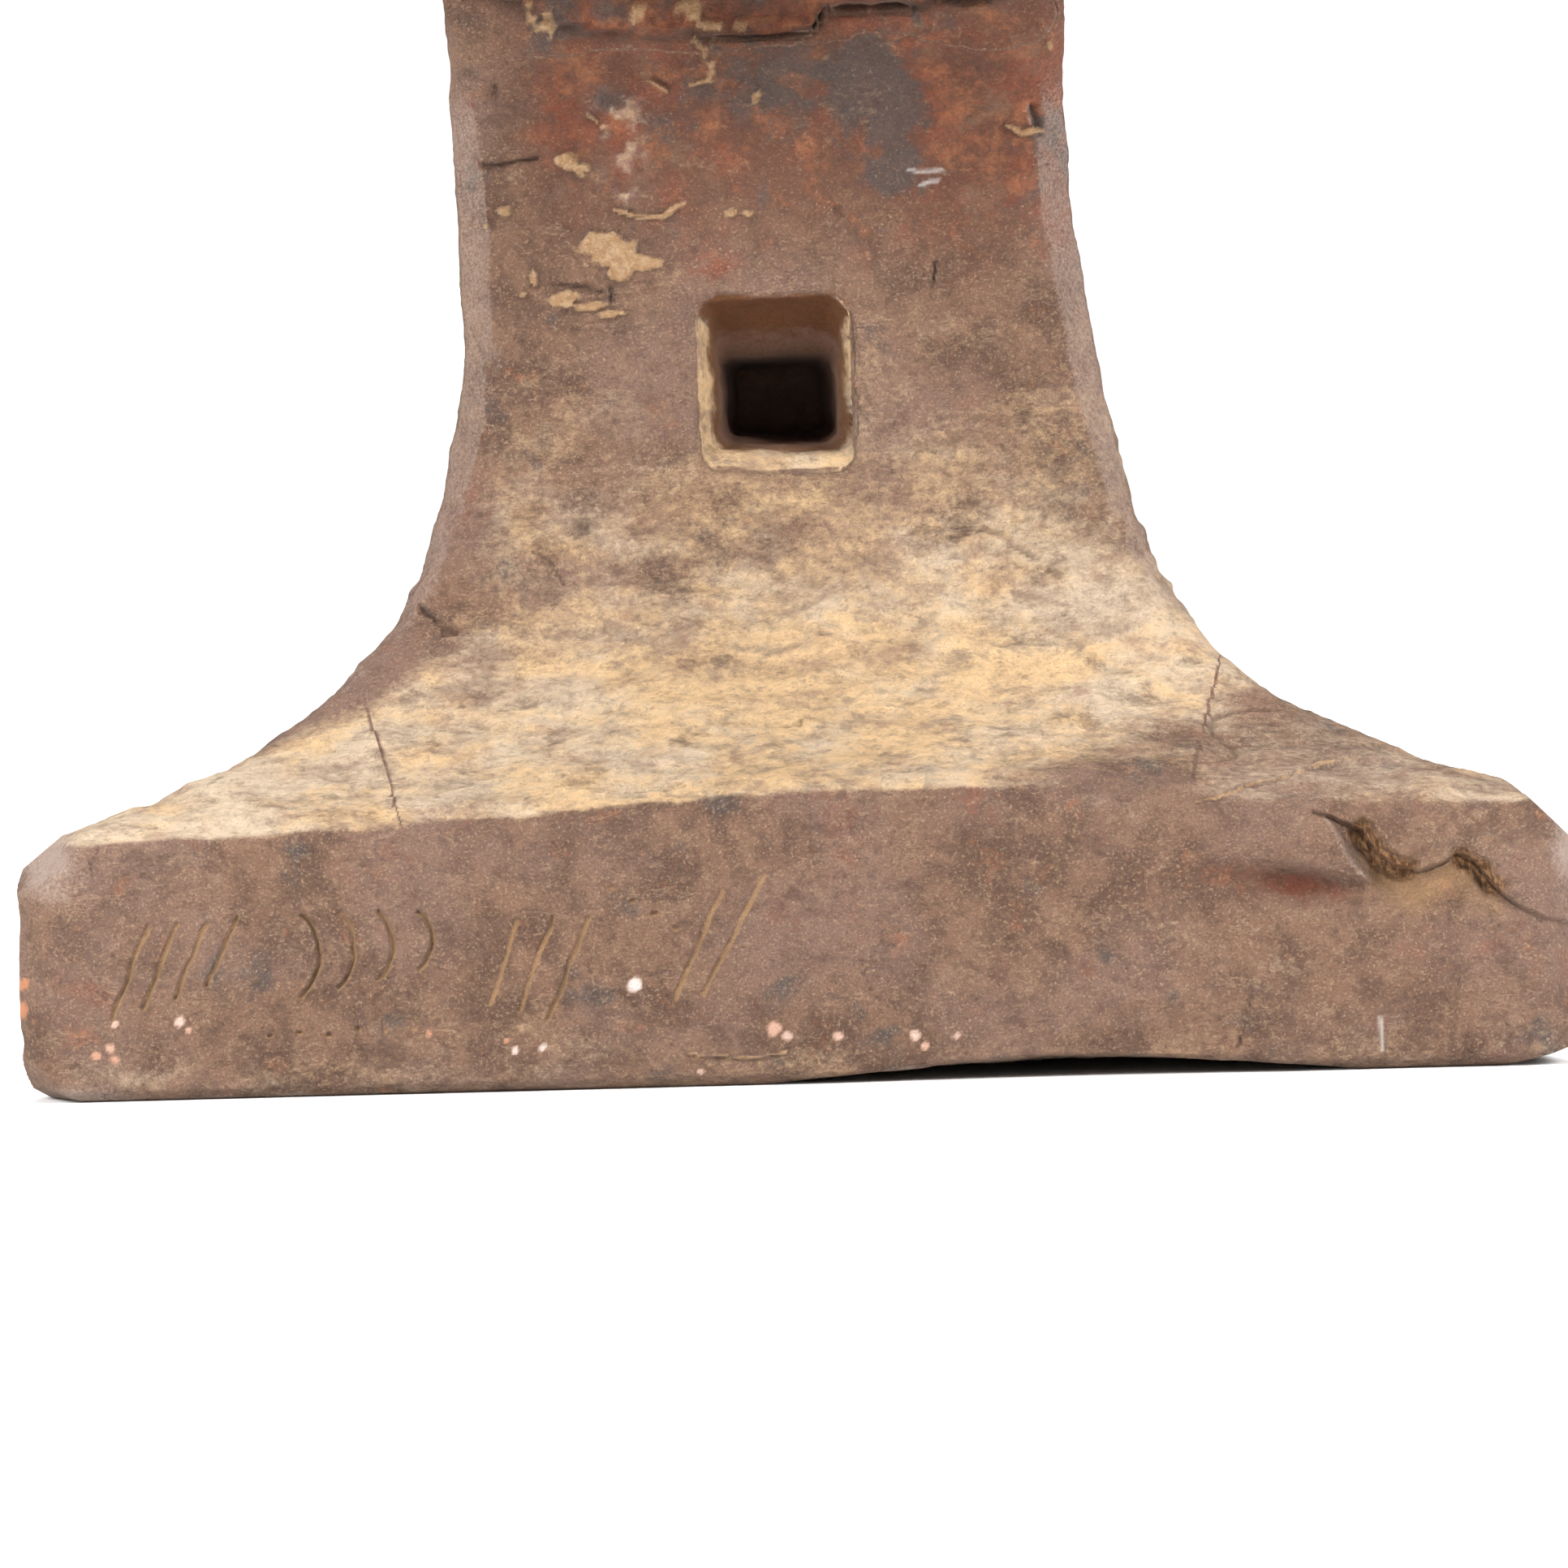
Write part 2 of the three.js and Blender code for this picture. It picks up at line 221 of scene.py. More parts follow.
# Each daub of dried clay is its middle, half its width and half its height.
CLAY_DAUBS = (
    (-27, 126.6, 4.6, 2.7), (-21.8, 124.8, 3.9, 1.7), (-24.8, 123, 2.1, 1.4),
    (-33.4, 119.6, 2.6, 1.2), (-29.6, 118.2, 3.4, 0.8), (-26, 116.8, 2.2, 0.6),
    (-32.2, 140.6, 2.3, 1.5), (-30.2, 139.6, 1.6, 1), (-7.3, 132.1, 0.9, 0.7),
    (-4.8, 132, 0.9, 0.7), (-42.5, 133.3, 1.2, 0.9), (-45.4, 131, 0.6, 0.5),
    (-38.4, 122.6, 0.5, 1), (-40, 120.6, 0.6, 0.5), (42.6, 156.2, 0.7, 0.7),
    (-12.6, 163.6, 2.4, 1.6), (-9.6, 160.4, 1.8, 1.2), (-4.6, 160.2, 1.6, 0.7),
    (-34.2, 162.2, 0.9, 2.2), (-20.5, 163, 2.2, 1.4),
)
CLAY_RUNS = (  # each a path and half its width
    (((-12.8, 158.6), (-10.8, 156.4), (-9.9, 154.4), (-9.9, 152.4), (-12.6, 151.7)), 0.34),
    (((-19.4, 152.8), (-16.6, 151.2)), 0.22),
    (((-3.2, 149.4), (-2, 150.6)), 0.4),
    (((-28.8, 147.8), (-26.4, 146)), 0.26),
    (((-25.4, 133), (-21.2, 131.7), (-18.2, 131.6), (-14.6, 133.6)), 0.4),
    (((-37.4, 164.4), (-36.8, 161.4), (-34.2, 160)), 0.5),
    (((35.8, 144.6), (38, 143.5), (41.5, 143.8)), 0.5),
    (((60, 40.8), (67, 42.8), (74, 44.4), (82, 46)), 0.2),
    (((-16.5, 5.2), (-8, 4.6), (-2, 5)), 0.2),
)
PALE_SCRATCHES = (
    ((20.6, 137.9), (23.6, 137.5), (26.2, 137.5)),
    ((22, 135.9), (25, 136)),
    ((87, 8), (87.2, 3)),
)
# Each chip of paint or lime is its middle, radius and how white it is.
CHIPS = (
    (-24.4, 15.6, 1.3, 1), (-42.6, 6.3, 0.7, 0.8), (-38.3, 6.5, 0.7, 0.9),
    (-105.2, 7.2, 0.9, 0.2), (-103, 8.4, 0.9, 0.3), (-102.6, 6.6, 0.7, 0.2),
    (-92.6, 12.3, 0.9, 0.6), (-91.2, 10.8, 0.6, 0.3), (-102.4, 11.8, 0.6, 0.4),
    (-3.6, 8.3, 1.3, 0.3), (-1.8, 7.2, 0.9, 0.5), (5.5, 7.1, 0.8, 0.4),
    (17, 7.1, 0.9, 0.5), (18.6, 5.4, 0.8, 0.3), (23.7, 6.7, 0.6, 0.5),
    (-55.6, 9.2, 0.6, 0.1), (-43.8, 8, 0.6, 0.1), (-15, 2.6, 0.5, 0.5),
    (-116.4, 14, 1.6, 0), (-116.2, 18, 1.1, 0),
)


def tool_marks():
    """Plain chisel slips, half-moons of a hammer's edge and punch dots on the left of the foot's
    front, as lists of paths. They stand for a stamped mark and spell nothing."""

    def cut(x, z, length, angle):
        dx = 0.5 * length * math.sin(math.radians(angle))
        dz = 0.5 * length * math.cos(math.radians(angle))
        return ((x - dx, z - dz), (x + dx, z + dz))

    def half_moon(x, z, radius, start, end):
        steps = 10
        angles = [math.radians(start + (end - start) * i / steps) for i in range(steps + 1)]
        return tuple((x + radius * math.cos(a), z + radius * math.sin(a)) for a in angles)

    def dot(x, z):
        return cut(x, z, 0.3, 90)

    slips = [cut(-100 + 4.6 * i, 19.5 + 0.9 * i, 15 - 1.3 * i, 22 + 1.5 * i) for i in range(4)]
    slips += [cut(-44 + 4.9 * i, 20 - 0.7 * i, 13 + 1.6 * i, 19 + 2 * i) for i in range(3)]
    slips += [cut(-14.8, 21.5, 17, 25), cut(-9.4, 23, 20, 28)]
    moons = [half_moon(-80 + 6.4 * i, 21.5 + 0.6 * i, 8.4 - 0.8 * i, -48, 46) for i in range(4)]
    dots = [dot(-79 + 4.2 * i, 9.6 + 0.5 * (i % 2)) for i in range(6)]
    dots += [dot(-27.5 + 3.1 * i, 30.5 - 2.1 * i) for i in range(4)]
    return slips + moons + dots


def on_foot_front(surface):
    return surface.y < FOOT_FRONT_Y + 7


def on_waist_front(surface):
    return (surface.y < WAIST_FRONT_Y + 10) & (surface.ny < 0.25) & (surface.z < 172)


def around_hole(x, z, half_width, half_height):
    """Whether each (x, z) is in a box around the middle of the handling hole."""
    return (np.abs(x - HOLE_X) < half_width) & (np.abs(z - HOLE_Z) < half_height)


def wandered(surface):
    """The places with a slight waver, so that nothing runs dead straight."""
    x = surface.x + 0.45 * layered_noise(surface.points, 7, 51, gain=0.55)
    z = surface.z + 0.45 * layered_noise(surface.points, 7, 55, gain=0.55)
    return x, z


def nearest_of(paths, x, z, where):
    """Distance to the nearest path at the points of a region, and a large number elsewhere."""
    nearest = np.full(len(x), 1e6)
    for path in paths:
        nearest[where] = np.minimum(nearest[where], distance_to_path(x[where], z[where], path))
    return nearest


# ---- The fused skin ----

def apply_modifiers(piece):
    """Turns an object's modifiers into its mesh."""
    graph = bpy.context.evaluated_depsgraph_get()
    shaped_mesh = bpy.data.meshes.new_from_object(piece.evaluated_get(graph))
    piece.modifiers.clear()
    old = piece.data
    piece.data = shaped_mesh
    bpy.data.meshes.remove(old)


def new_object(name, mesh):
    piece = bpy.data.objects.new(name, mesh)
    bpy.context.scene.collection.objects.link(piece)
    return piece


def gathered_solids():
    """All the CAD forgings in one mesh, each a little swollen so that the weld gaps close."""
    gathered = bmesh.new()
    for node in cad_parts.values():
        solid = bmesh.new()
        solid.from_mesh(node.data)
        bmesh.ops.remove_doubles(solid, verts=solid.verts, dist=0.005 * MM)
        solid.normal_update()
        for vertex in solid.verts:
            vertex.co += vertex.normal * INFLATE * MM
        copy = bpy.data.meshes.new("copy")
        solid.to_mesh(copy)
        solid.free()
        gathered.from_mesh(copy)
        bpy.data.meshes.remove(copy)
    mesh = bpy.data.meshes.new("solids")
    gathered.to_mesh(mesh)
    gathered.free()
    return new_object("solids", mesh)


def soften(skin, steps):
    smooth = skin.modifiers.new("soften", "SMOOTH")
    smooth.factor = 0.5
    smooth.iterations = steps


def fused_skin():
    """One closed mesh around all the CAD forgings, with even square faces."""
    solids = gathered_solids()
    skin = new_object("skin", solids.data.copy())
    remesh = skin.modifiers.new("even", "REMESH")
    remesh.mode = "VOXEL"
    remesh.voxel_size = VOXEL * MM
    remesh.use_smooth_shade = True
    soften(skin, 4)
    wrap = skin.modifiers.new("wrap", "SHRINKWRAP")
    wrap.target = solids
    wrap.wrap_method = "NEAREST_SURFACEPOINT"
    soften(skin, 2)
    apply_modifiers(skin)
    bpy.data.objects.remove(solids)
    return skin


class Middles:
    """The middles of faces, in millimetres, and the faces' outward directions."""

    def __init__(self, faces):
        self.x, self.y, self.z = np.array([face.calc_center_median() for face in faces]).T / MM
        self.nx, self.ny, self.nz = np.array([face.normal for face in faces]).T


def refine(skin, wanted):
    """Quarters the faces that are in the wanted region."""
    mesh = bmesh.new()
    mesh.from_mesh(skin.data)
    mesh.normal_update()
    chosen = wanted(Middles(mesh.faces))
    edges = {edge for face, pick in zip(mesh.faces, chosen) if pick for edge in face.edges}
    bmesh.ops.subdivide_edges(mesh, edges=list(edges), cuts=1, use_grid_fill=True)
    mesh.to_mesh(skin.data)
    mesh.free()


def seen_from_the_front(m):
    """The horn end of the foot and the waist."""
    facing = (m.ny < 0.2) & (m.nz > -0.5)
    return facing & (m.y < -64) & (m.y > -135) & (m.z < 170)


def finely_marked(m):
    """The foot's front, the handling hole's mouth, the horn's weld and the marks on the waist."""
    foot_front = (m.y < FOOT_FRONT_Y + 4) & (m.z > 0.5) & (m.ny < -0.2)
    hole = around_hole(m.x, m.z, 15, 17) & (m.y < -60) & (m.y > -80)
    weld = (np.abs(m.z - 161) < 5) & (m.y < -70) & (m.y > -90) & (np.abs(m.x) < 44)
    waist = (m.y < WAIST_FRONT_Y + 10) & (m.ny < 0) & (m.z > FOOT_EDGE_Z) & (m.z < 165)
    lines = [path for path, *_ in CRACKS + CLAY_RUNS] + list(PALE_SCRATCHES)
    near = nearest_of(lines, m.x, m.z, waist) < 2
    margin = 1.5
    for middle_x, middle_z, half_width, half_height in CLAY_DAUBS:
        across = (m.x - middle_x) / (half_width + margin)
        up = (m.z - middle_z) / (half_height + margin)
        near |= waist & (np.hypot(across, up) < 1)
    return foot_front | hole | weld | near


def along_marks(m):
    """The foot's front within 1.5 mm of the tool marks and the lap."""
    where = (m.y < FOOT_FRONT_Y + 4) & (m.ny < -0.2)
    return nearest_of(tool_marks() + [LAP_CRACK], m.x, m.z, where) < 1.5


# ---- The shape that hammer, weather and wear left ----

# How much wider than the CAD's the waist and the flare are on each side, as (height, amount).
LEFT_GAIN = ((36.5, 0), (41, -3.4), (47, -5), (53, -2.5), (59, -0.8), (64, 1.2),
             (72, 1.2), (84, 2.8), (96, 3.2), (112, 1.6), (130, 0.6), (170, 0.6))
RIGHT_GAIN = ((36.5, 0), (40.5, -2.6), (44, -2), (48, -0.8), (53, -2.2), (59, -2.2),
              (66, 0.2), (73, 2.2), (84, 3), (94, 3.2), (112, 1.4), (130, 0.2),
              (170, 0.4))


def lean(p):
    """The waist leans a little to the left, and it is fuller low down than the CAD's, while the
    foot is slimmer just above its edge, whose height wavers."""
    x, y, z = p.T
    p = p.copy()
    right = ramp(x, -10, 10)
    p[:, 0] -= 2.5 * ramp(z, 104, 142) * ramp(z, 235, 190)
    gain = height_on(LEFT_GAIN, z) * (1 - right) + height_on(RIGHT_GAIN, z) * right
    p[:, 0] += gain * np.clip(x / 42, -1, 1)
    p[:, 0] += HOLE_X * spot(x, z, 0, HOLE_Z, 22, 24) * ramp(y, 0, -20)
    edge = ramp(z, 26, 38) * ramp(z, 64, 46) * ramp(y, -60, -100)
    waver = 1.4 * ramp(x, 98, 112) - 1.2 * bell(x, -62, 26) + 0.9 * bell(x, 20, 22)
    p[:, 2] += edge * waver
    return p


def hammered_flat(p):
    """The four upright arrises of waist and flare, beaten to slanting strips."""
    x, y, z = np.abs(p).T
    heights = np.arange(42, 160, 2)
    sides, ends = [], []
    for height in heights:
        slab = np.abs(z - height) < 1.5
        sides.append(x[slab].max())
        ends.append(y[slab & (x < 30)].max())
    from_corner = np.interp(z, heights, sides) - x + np.interp(z, heights, ends) - y
    here = ramp(z, 44, 54) * ramp(z, 157, 148)
    pressed = here * np.clip(ARRIS_WIDTH - from_corner, 0, ARRIS_WIDTH) / 2
    p = p.copy()
    p[:, 0] -= np.sign(p[:, 0]) * pressed
    p[:, 1] -= np.sign(p[:, 1]) * pressed
    return p


def upright_root(p):
    """The horn's iron starts with an upright lip, before its underside runs forward."""
    forward, z = -p[:, 1], p[:, 2]
    p = p.copy()
    near = ramp(forward, 80.5, 85) * ramp(forward, 200, 130)
    p[:, 2] += ROOT_LIP * near * ramp(z, 140, 150) * ramp(z, 190, 166)
    return p


def worn_sole(p):
    """The foot's lower arrises are worn back, so that it stands just inside its outline."""
    p = p.copy()
    worn = np.clip(1.8 - p[:, 2], 0, None)
    p[:, 0] -= np.sign(p[:, 0]) * worn * ramp(np.abs(p[:, 0]), 96, 106)
    p[:, 1] -= np.sign(p[:, 1]) * worn * ramp(np.abs(p[:, 1]), 106, 118)
    return p


def hole_mouth(p):
    """Each handling hole is wide at its mouth, and its roof slopes down to the narrow part."""
    x, y, z = p.T
    p = p.copy()
    depth = -WAIST_FRONT_Y - np.abs(y)
    inside = around_hole(x, z, 13, 15) & (depth > 0.2) & (depth < 60)
    across, up = x - HOLE_X, z - HOLE_Z
    mouth = ramp(depth, -1, 10)
    roof = ramp(depth, 0, 18)
    lip = 0.75 * ramp(depth, -0.5, 3) + 0.25 * ramp(depth, 1, 10)
    narrow_x = np.where(across < 0, 0.20, 0.15) * mouth
    narrow_z = np.where(up > 0, 0.62 * roof, 0.25 * lip)
    p[inside, 0] = (HOLE_X + across * (1 - narrow_x))[inside]
    p[inside, 2] = (HOLE_Z + 0.2 + up * (1 - narrow_z))[inside]
    return p


def cut_corner(p, point, normal, reach):
    """Presses whatever stands beyond a plane, within reach of a point, back onto it."""
    out = np.array(normal)
    out /= np.linalg.norm(out)
    away = p - np.array(point)
    near = ramp(np.linalg.norm(away, axis=1), reach, 0.7 * reach)
    over = np.clip(away @ out, 0, None)
    return p - (near * over)[:, None] * out


def creases(s, wavelength, seed, width, stretch):
    """1 along thin wandering lines that come and go, and 0 away from them."""
    lines = layered_noise(s.points, wavelength, seed, gain=0.55, stretch=stretch)
    present = ramp(gradient_noise(s.points, 1.6 * wavelength, seed + 7), 0.05, 0.55)
    return ramp(np.abs(lines), width, 0.2 * width) * present


def hammering(s):
    """Outward offset: broad unevenness from the hammer, and finer scale and laminations."""
    p = s.points
    steel = ramp(s.z, PLATE_BOTTOM_Z + 2, FACE_Z - 4) * ramp(s.y, STEP_Y - 6, STEP_Y)
    horn = ramp(s.y, TABLE_END_Y + 5, TABLE_END_Y - 25)
    flare = ramp(s.z, 36, 42) * ramp(s.z, 108, 84)
    broad = 0.85 * gradient_noise(p, 48, 11) + 0.5 * gradient_noise(p, 22, 12)
    dents = 0.34 * gradient_noise(p, 9, 13)
    leaves = layered_noise(p, 6, 14, gain=0.6, stretch=(2.4, 1.4, 1))
    laminations = (0.24 + 0.36 * flare) * leaves
    splits = -0.8 * flare * creases(s, 19, 181, 0.07, (3.2, 1.6, 1))
    cold_shuts = -0.3 * (1 - flare) * creases(s, 15, 191, 0.06, (1, 1, 1.3))
    grain = 0.13 * layered_noise(p, 2.6, 17, layers=2, gain=0.7)
    smoother = 1 - 0.6 * np.maximum(horn, steel)
    fine = (laminations + splits + cold_shuts + grain) * smoother
    return (broad + dents) * (1 - 0.7 * steel) * (1 - 0.4 * horn) + fine


def worn_arrises(s):
    """Outward offset that rounds and chips whatever stands proud."""
    proud = np.clip(s.proud(10), 0, 1.2)
    chipped = ramp(gradient_noise(s.points, 11, 21), 0.1, 0.75)
    nibbled = ramp(gradient_noise(s.points, 4, 22), 0, 0.8)
    return -proud * (0.12 + 1.25 * chipped + 0.5 * nibbled)


def lap_crack(s, x, z):
    """The cold shut at the right end of the foot: a thin line that opens into two torn pockets,
    with rounded lobes over it and hollows under it."""
    here = ramp(s.y, -100, -116) * ramp(s.x, 74, 80)
    near = distance_to_path(x, z, LAP_CRACK)
    above = z - height_on(LAP_CRACK, x)
    step = 0.9 * ramp(above, -0.6, 0.6) * np.exp(-np.clip(above, 0, None) / 5)
    line = ramp(near, 0.45, 0.1) * (0.4 + 0.6 * ramp(s.x, 110, 104))
    lobes = 2.2 * spot(x, z, 95, 36, 4.6, 5) + 1.6 * spot(x, z, 109.5, 30, 5.5, 5)
    lobes *= ramp(above, -0.4, 0.5)
    hollows = 3 * spot(x, z, 89.8, 28.4, 5.2, 3.2) + 2 * spot(x, z, 101.6, 27, 4.2, 2.6)
    hollows *= ramp(above, 0.6, -0.8)
    return here * (step + lobes - line - hollows - 2.2 * lap_pockets(s, x, z))


def lap_pockets(s, x, z):
    """1 in the torn pockets of the cold shut and 0 outside them."""
    ragged = 0.5 * layered_noise(s.points, 2.6, 45, gain=0.6)
    left, right = [distance_to_path(x, z, pocket) for pocket in LAP_POCKETS]
    return ramp(np.minimum(left, right + 0.3) + ragged, 2.4, 0.9)


def lump(s, x, z):
    """The raised facet beside the lap, with a red hollow under it."""
    here = ramp(s.y, -104, -116)
    right_edge = 86.6 - 0.66 * np.clip(z - 27.5, 0, None)
    lower_edge = 27.2 + 0.2 * (84 - x)
    facet = ramp(x, 71, 76.5) * ramp(x, right_edge + 0.7, right_edge - 0.5)
    facet *= ramp(z, lower_edge, lower_edge + 2.6) * ramp(z, 41, 35)
    behind = bell(x, right_edge + 1.8, 1.7) * ramp(z, 26, 30) * ramp(z, 38.5, 34)
    hollow = spot(x, z, 74, 27.4 + 0.16 * (78 - x), 11, 2.6) * ramp(x, 87, 84)
    return here * (2.3 * facet - 3 * hollow - 2 * behind)


def horn_root(s, x, z):
    """The open end of the horn's weld, and the rough lip of the horn's iron over it."""
    above = z - height_on(HORN_CRACK, x)
    here = ramp(s.y, -60, -70) * ramp(s.y, -150, -110) * (np.abs(s.x) < 50)
    rough = 1 + 0.6 * layered_noise(s.points, 7, 42, gain=0.6)
    lip = 2.4 * ramp(above, -0.3, 0.7) * np.exp(-np.clip(above, 0, None) / 8) * rough
    open_stretch = ramp(s.x, -14, -4) * ramp(s.x, 38, 30)
    slot = -2.8 * bell(above, -0.1, 0.55) * (0.15 + 0.85 * open_stretch)
    return here * (lip + slot)


def horn_gap(s):
    """1 in the open stretch of the horn's weld, before the relief moves it."""
    x, z = wandered(s)
    open_stretch = ramp(x, -16, -6) * ramp(x, 44, 34)
    line = bell(z - height_on(HORN_CRACK, x), -0.1, 0.75)
    return on_waist_front(s) * line * (0.25 + 0.75 * open_stretch)


def weld_seams(s):
    """Shallow, broken grooves where the forgings meet on the anvil's sides."""
    broken = ramp(gradient_noise(s.points, 26, 61), -0.35, 0.3)
    waver = 0.8 * gradient_noise(s.points, 14, 62)
    side = ramp(np.abs(s.nx), 0.5, 0.8)
    plate = bell(s.z + 0.5 * waver, PLATE_BOTTOM_Z, 1.1)
    plate *= (s.y > STEP_Y) & (np.abs(s.nz) < 0.5)
    (low, low_z), (high, high_z) = END_SCARF
    scarf_y = low + (high - low) * (s.z - low_z) / (high_z - low_z)
    ends = bell(np.abs(s.y) + waver, scarf_y, 1.2) * side
    ends *= ramp(s.z, HORN_WELD_Z, HORN_WELD_Z + 8)
    return -0.55 * broken * np.maximum(plate, 0.7 * ends)


def table_cuts(s):
    """Chisel cuts across the soft table, and the sway that years of work leave in the face."""
    draw = np.random.default_rng(71)
    nearest = np.full(len(s.x), 1e6)
    where = (s.z > PLATE_BOTTOM_Z - 6) & (s.y < STEP_Y) & (s.y > TABLE_END_Y - 4)
    for _ in range(13):
        x, y = draw.uniform(-36, 36), draw.uniform(TABLE_END_Y + 8, STEP_Y - 8)
        half, turn = draw.uniform(4, 13), draw.normal(0, 0.45)
        dx, dy = half * math.cos(turn), half * math.sin(turn)
        path = ((x - dx, y - dy), (x + dx, y + dy))
        nearest[where] = np.minimum(nearest[where], distance_to_path(s.x[where], s.y[where], path))
    cuts = -0.6 * ramp(nearest, 1.1, 0.1)
    top = ramp(s.nz, 0.7, 0.95) * ramp(s.z, FACE_Z - 3, FACE_Z - 1)
    sway = -1.1 * top * bell(s.y, -20, 75) * (1 - 0.4 * (s.x / FACE_HALF_WIDTH) ** 2)
    return cuts + sway


def raggedness(points):
    """What breaks up a drawn line: added to the distance from it, in half widths."""
    return 0.25 + 0.5 * gradient_noise(points, 1.9, 57) + 0.7 * gradient_noise(points, 5, 58)


def front_relief(s):
    """Cracks, pits, daubs and tool marks of the horn end."""
    x, z = wandered(s)
    foot, waist = on_foot_front(s), on_waist_front(s)
    offset = lap_crack(s, x, z) + lump(s, x, z) + horn_root(s, x, z)
    ragged = raggedness(s.points[waist])
    for path, half_width, depth in CRACKS:
        near = distance_to_path(x[waist], z[waist], path) / half_width
        offset[waist] -= depth * ramp(near + ragged, 1.3, 0.2)
    for pit_x, pit_z, radius, depth in PITS:
        offset[waist] -= depth * spot(x[waist], z[waist], pit_x, pit_z, radius, radius)
    offset += 0.7 * clay_on(s, x, z)
    marks = nearest_of(tool_marks(), x, z, foot)
    strength = np.clip(0.75 + 0.6 * gradient_noise(s.points, 13, 54), 0.15, 1.2)
    offset -= 0.7 * strength * ramp(marks, 0.5, 0.1)
    offset += 0.1 * strength * bell(marks, 0.75, 0.25)
    return offset


def clay_on(s, x, z):
    """How thickly the daubs and runs of clay lie, from 0 to 1."""
    where = on_waist_front(s)
    ragged = 0.38 * layered_noise(s.points[where], 2.6, 81, layers=2)
    thick = np.zeros(int(where.sum()))
    for middle_x, middle_z, half_width, half_height in CLAY_DAUBS:
        away = np.hypot((x[where] - middle_x) / half_width, (z[where] - middle_z) / half_height)
        thick = np.maximum(thick, ramp(away + ragged, 1.12, 0.8))
    for path, half_width in CLAY_RUNS:
        near = distance_to_path(x[where], z[where], path) / half_width
        thick = np.maximum(thick, ramp(near + 1.4 * ragged, 1.3, 0.7))
    laid = np.zeros(len(x))
    laid[where] = thick
    return laid


# Where the foot's front corners are battered: a place as (x, distance from the front edge, z),
# the direction that is pressed in, and how far from the place the blow reaches.
BATTERED = (
    ((-108.4, 1, 37.6), (-0.66, -0.42, 0.62), 20),
    ((-110.6, 30, 39.6), (-0.62, 0, 0.78), 40),
    ((-113.6, 4, 3.2), (-0.75, -0.35, -0.6), 18),
    ((108.4, 2, 0.2), (0.33, -0.05, -0.94), 26),
    ((113, 1, 37.4), (0.66, -0.42, 0.62), 20),
    ((109.8, 26, 40.6), (0.70, 0, 0.71), 44),
)


def weathered(s):
    """The hammered, worn and cracked place of each point, and the weight of the horn's gap."""
    offset = hammering(s) + worn_arrises(s) + weld_seams(s) + table_cuts(s) + front_relief(s)
    offset -= INFLATE
    standing = ramp(s.z, 2.5, 0.5) * ramp(s.nz, -0.4, -0.8)
    p = s.points + s.normals * (offset * (1 - standing))[:, None]
    p = hole_mouth(p)
    for (x, behind, z), direction, reach in BATTERED:
        p = cut_corner(p, (x, FOOT_FRONT_Y + behind, z), direction, reach)
    p = worn_sole(p)
    p[:, 2] = np.maximum(p[:, 2], 0)
    return p, horn_gap(s)


# ---- Where dust, mud, rust and wear lie, and where shade and light are painted ----

# Height of the front face's upper edge, as (x, height).
FOOT_EDGE = ((-112, 38.4), (-94, 39.3), (-70, 39.8), (-46, 41), (-21, 42.8),
             (3, 44), (27, 44), (63, 41.6), (88, 40.2), (112, 39.4))
# The dust on the flare, as (height over that edge, how thick) and (height, how far it reaches).
DUST_AMOUNT = ((-5, 0.96), (8, 0.96), (16, 0.90), (26, 0.76), (38, 0.58), (48, 0.42),
               (58, 0.27), (68, 0.14), (80, 0.06), (120, 0.02))
DUST_RIGHT = ((-4, 20), (0, 34), (5, 46), (9.5, 59), (16, 70), (24, 72),
              (30, 62), (44, 56), (60, 56), (120, 60))
DUST_LEFT = ((-4, 120), (4, 112), (12, 84), (22, 62), (32, 54), (44, 52), (120, 60))


def front_dust(s):
    """Dust on the flare of the horn end: thick low down in the middle, ending at the edge."""
    p = s.points
    height = s.z - height_on(FOOT_EDGE, s.x)
    streaks = layered_noise(p, 9, 91, gain=0.6, stretch=(2.6, 1, 1))
    blotches = gradient_noise(p, 15, 95, stretch=(1.6, 1, 1))
    right, left = height_on(DUST_RIGHT, height), height_on(DUST_LEFT, height)
    amount = height_on(DUST_AMOUNT, height) * ramp(s.x, right + 13, right - 17)
    amount *= ramp(-s.x, left + 3, left - 12)
    amount -= 0.20 * bell(s.x, -58, 26) * ramp(height, 40, 8)
    amount *= 1 - 0.34 * bell(height, 34, 18) * ramp(s.x, 14, -30)
    amount += 0.2 * streaks * ramp(height, 90, 20) + 0.12 * blotches
    thin_right = 0.42 * ramp(height, 30, 2) * ramp(s.x, 46, 70)
    above_edge = ramp(height + 0.5 * gradient_noise(p, 6, 96), -0.6, 0.7)
    on_front = 0.08 + 0.14 * ramp(s.z, 10, 3) + 0.05 * blotches
    return (np.clip(amount, 0, 1) + thin_right) * above_edge + on_front * (1 - above_edge)


def settled_dust(s):
    """Dust wherever the surface looks up, with bare patches."""
    patchy = layered_noise(s.points, 32, 101)
    low = ramp(s.z, 150, 60)
    ragged = 0.12 * patchy + 0.22 * layered_noise(s.points, 9, 105)
    level = ramp(s.nz + ragged, 0, 1)
    return level * (0.10 + 0.72 * low) * (1 + 0.25 * patchy) + 0.05 + 0.04 * patchy


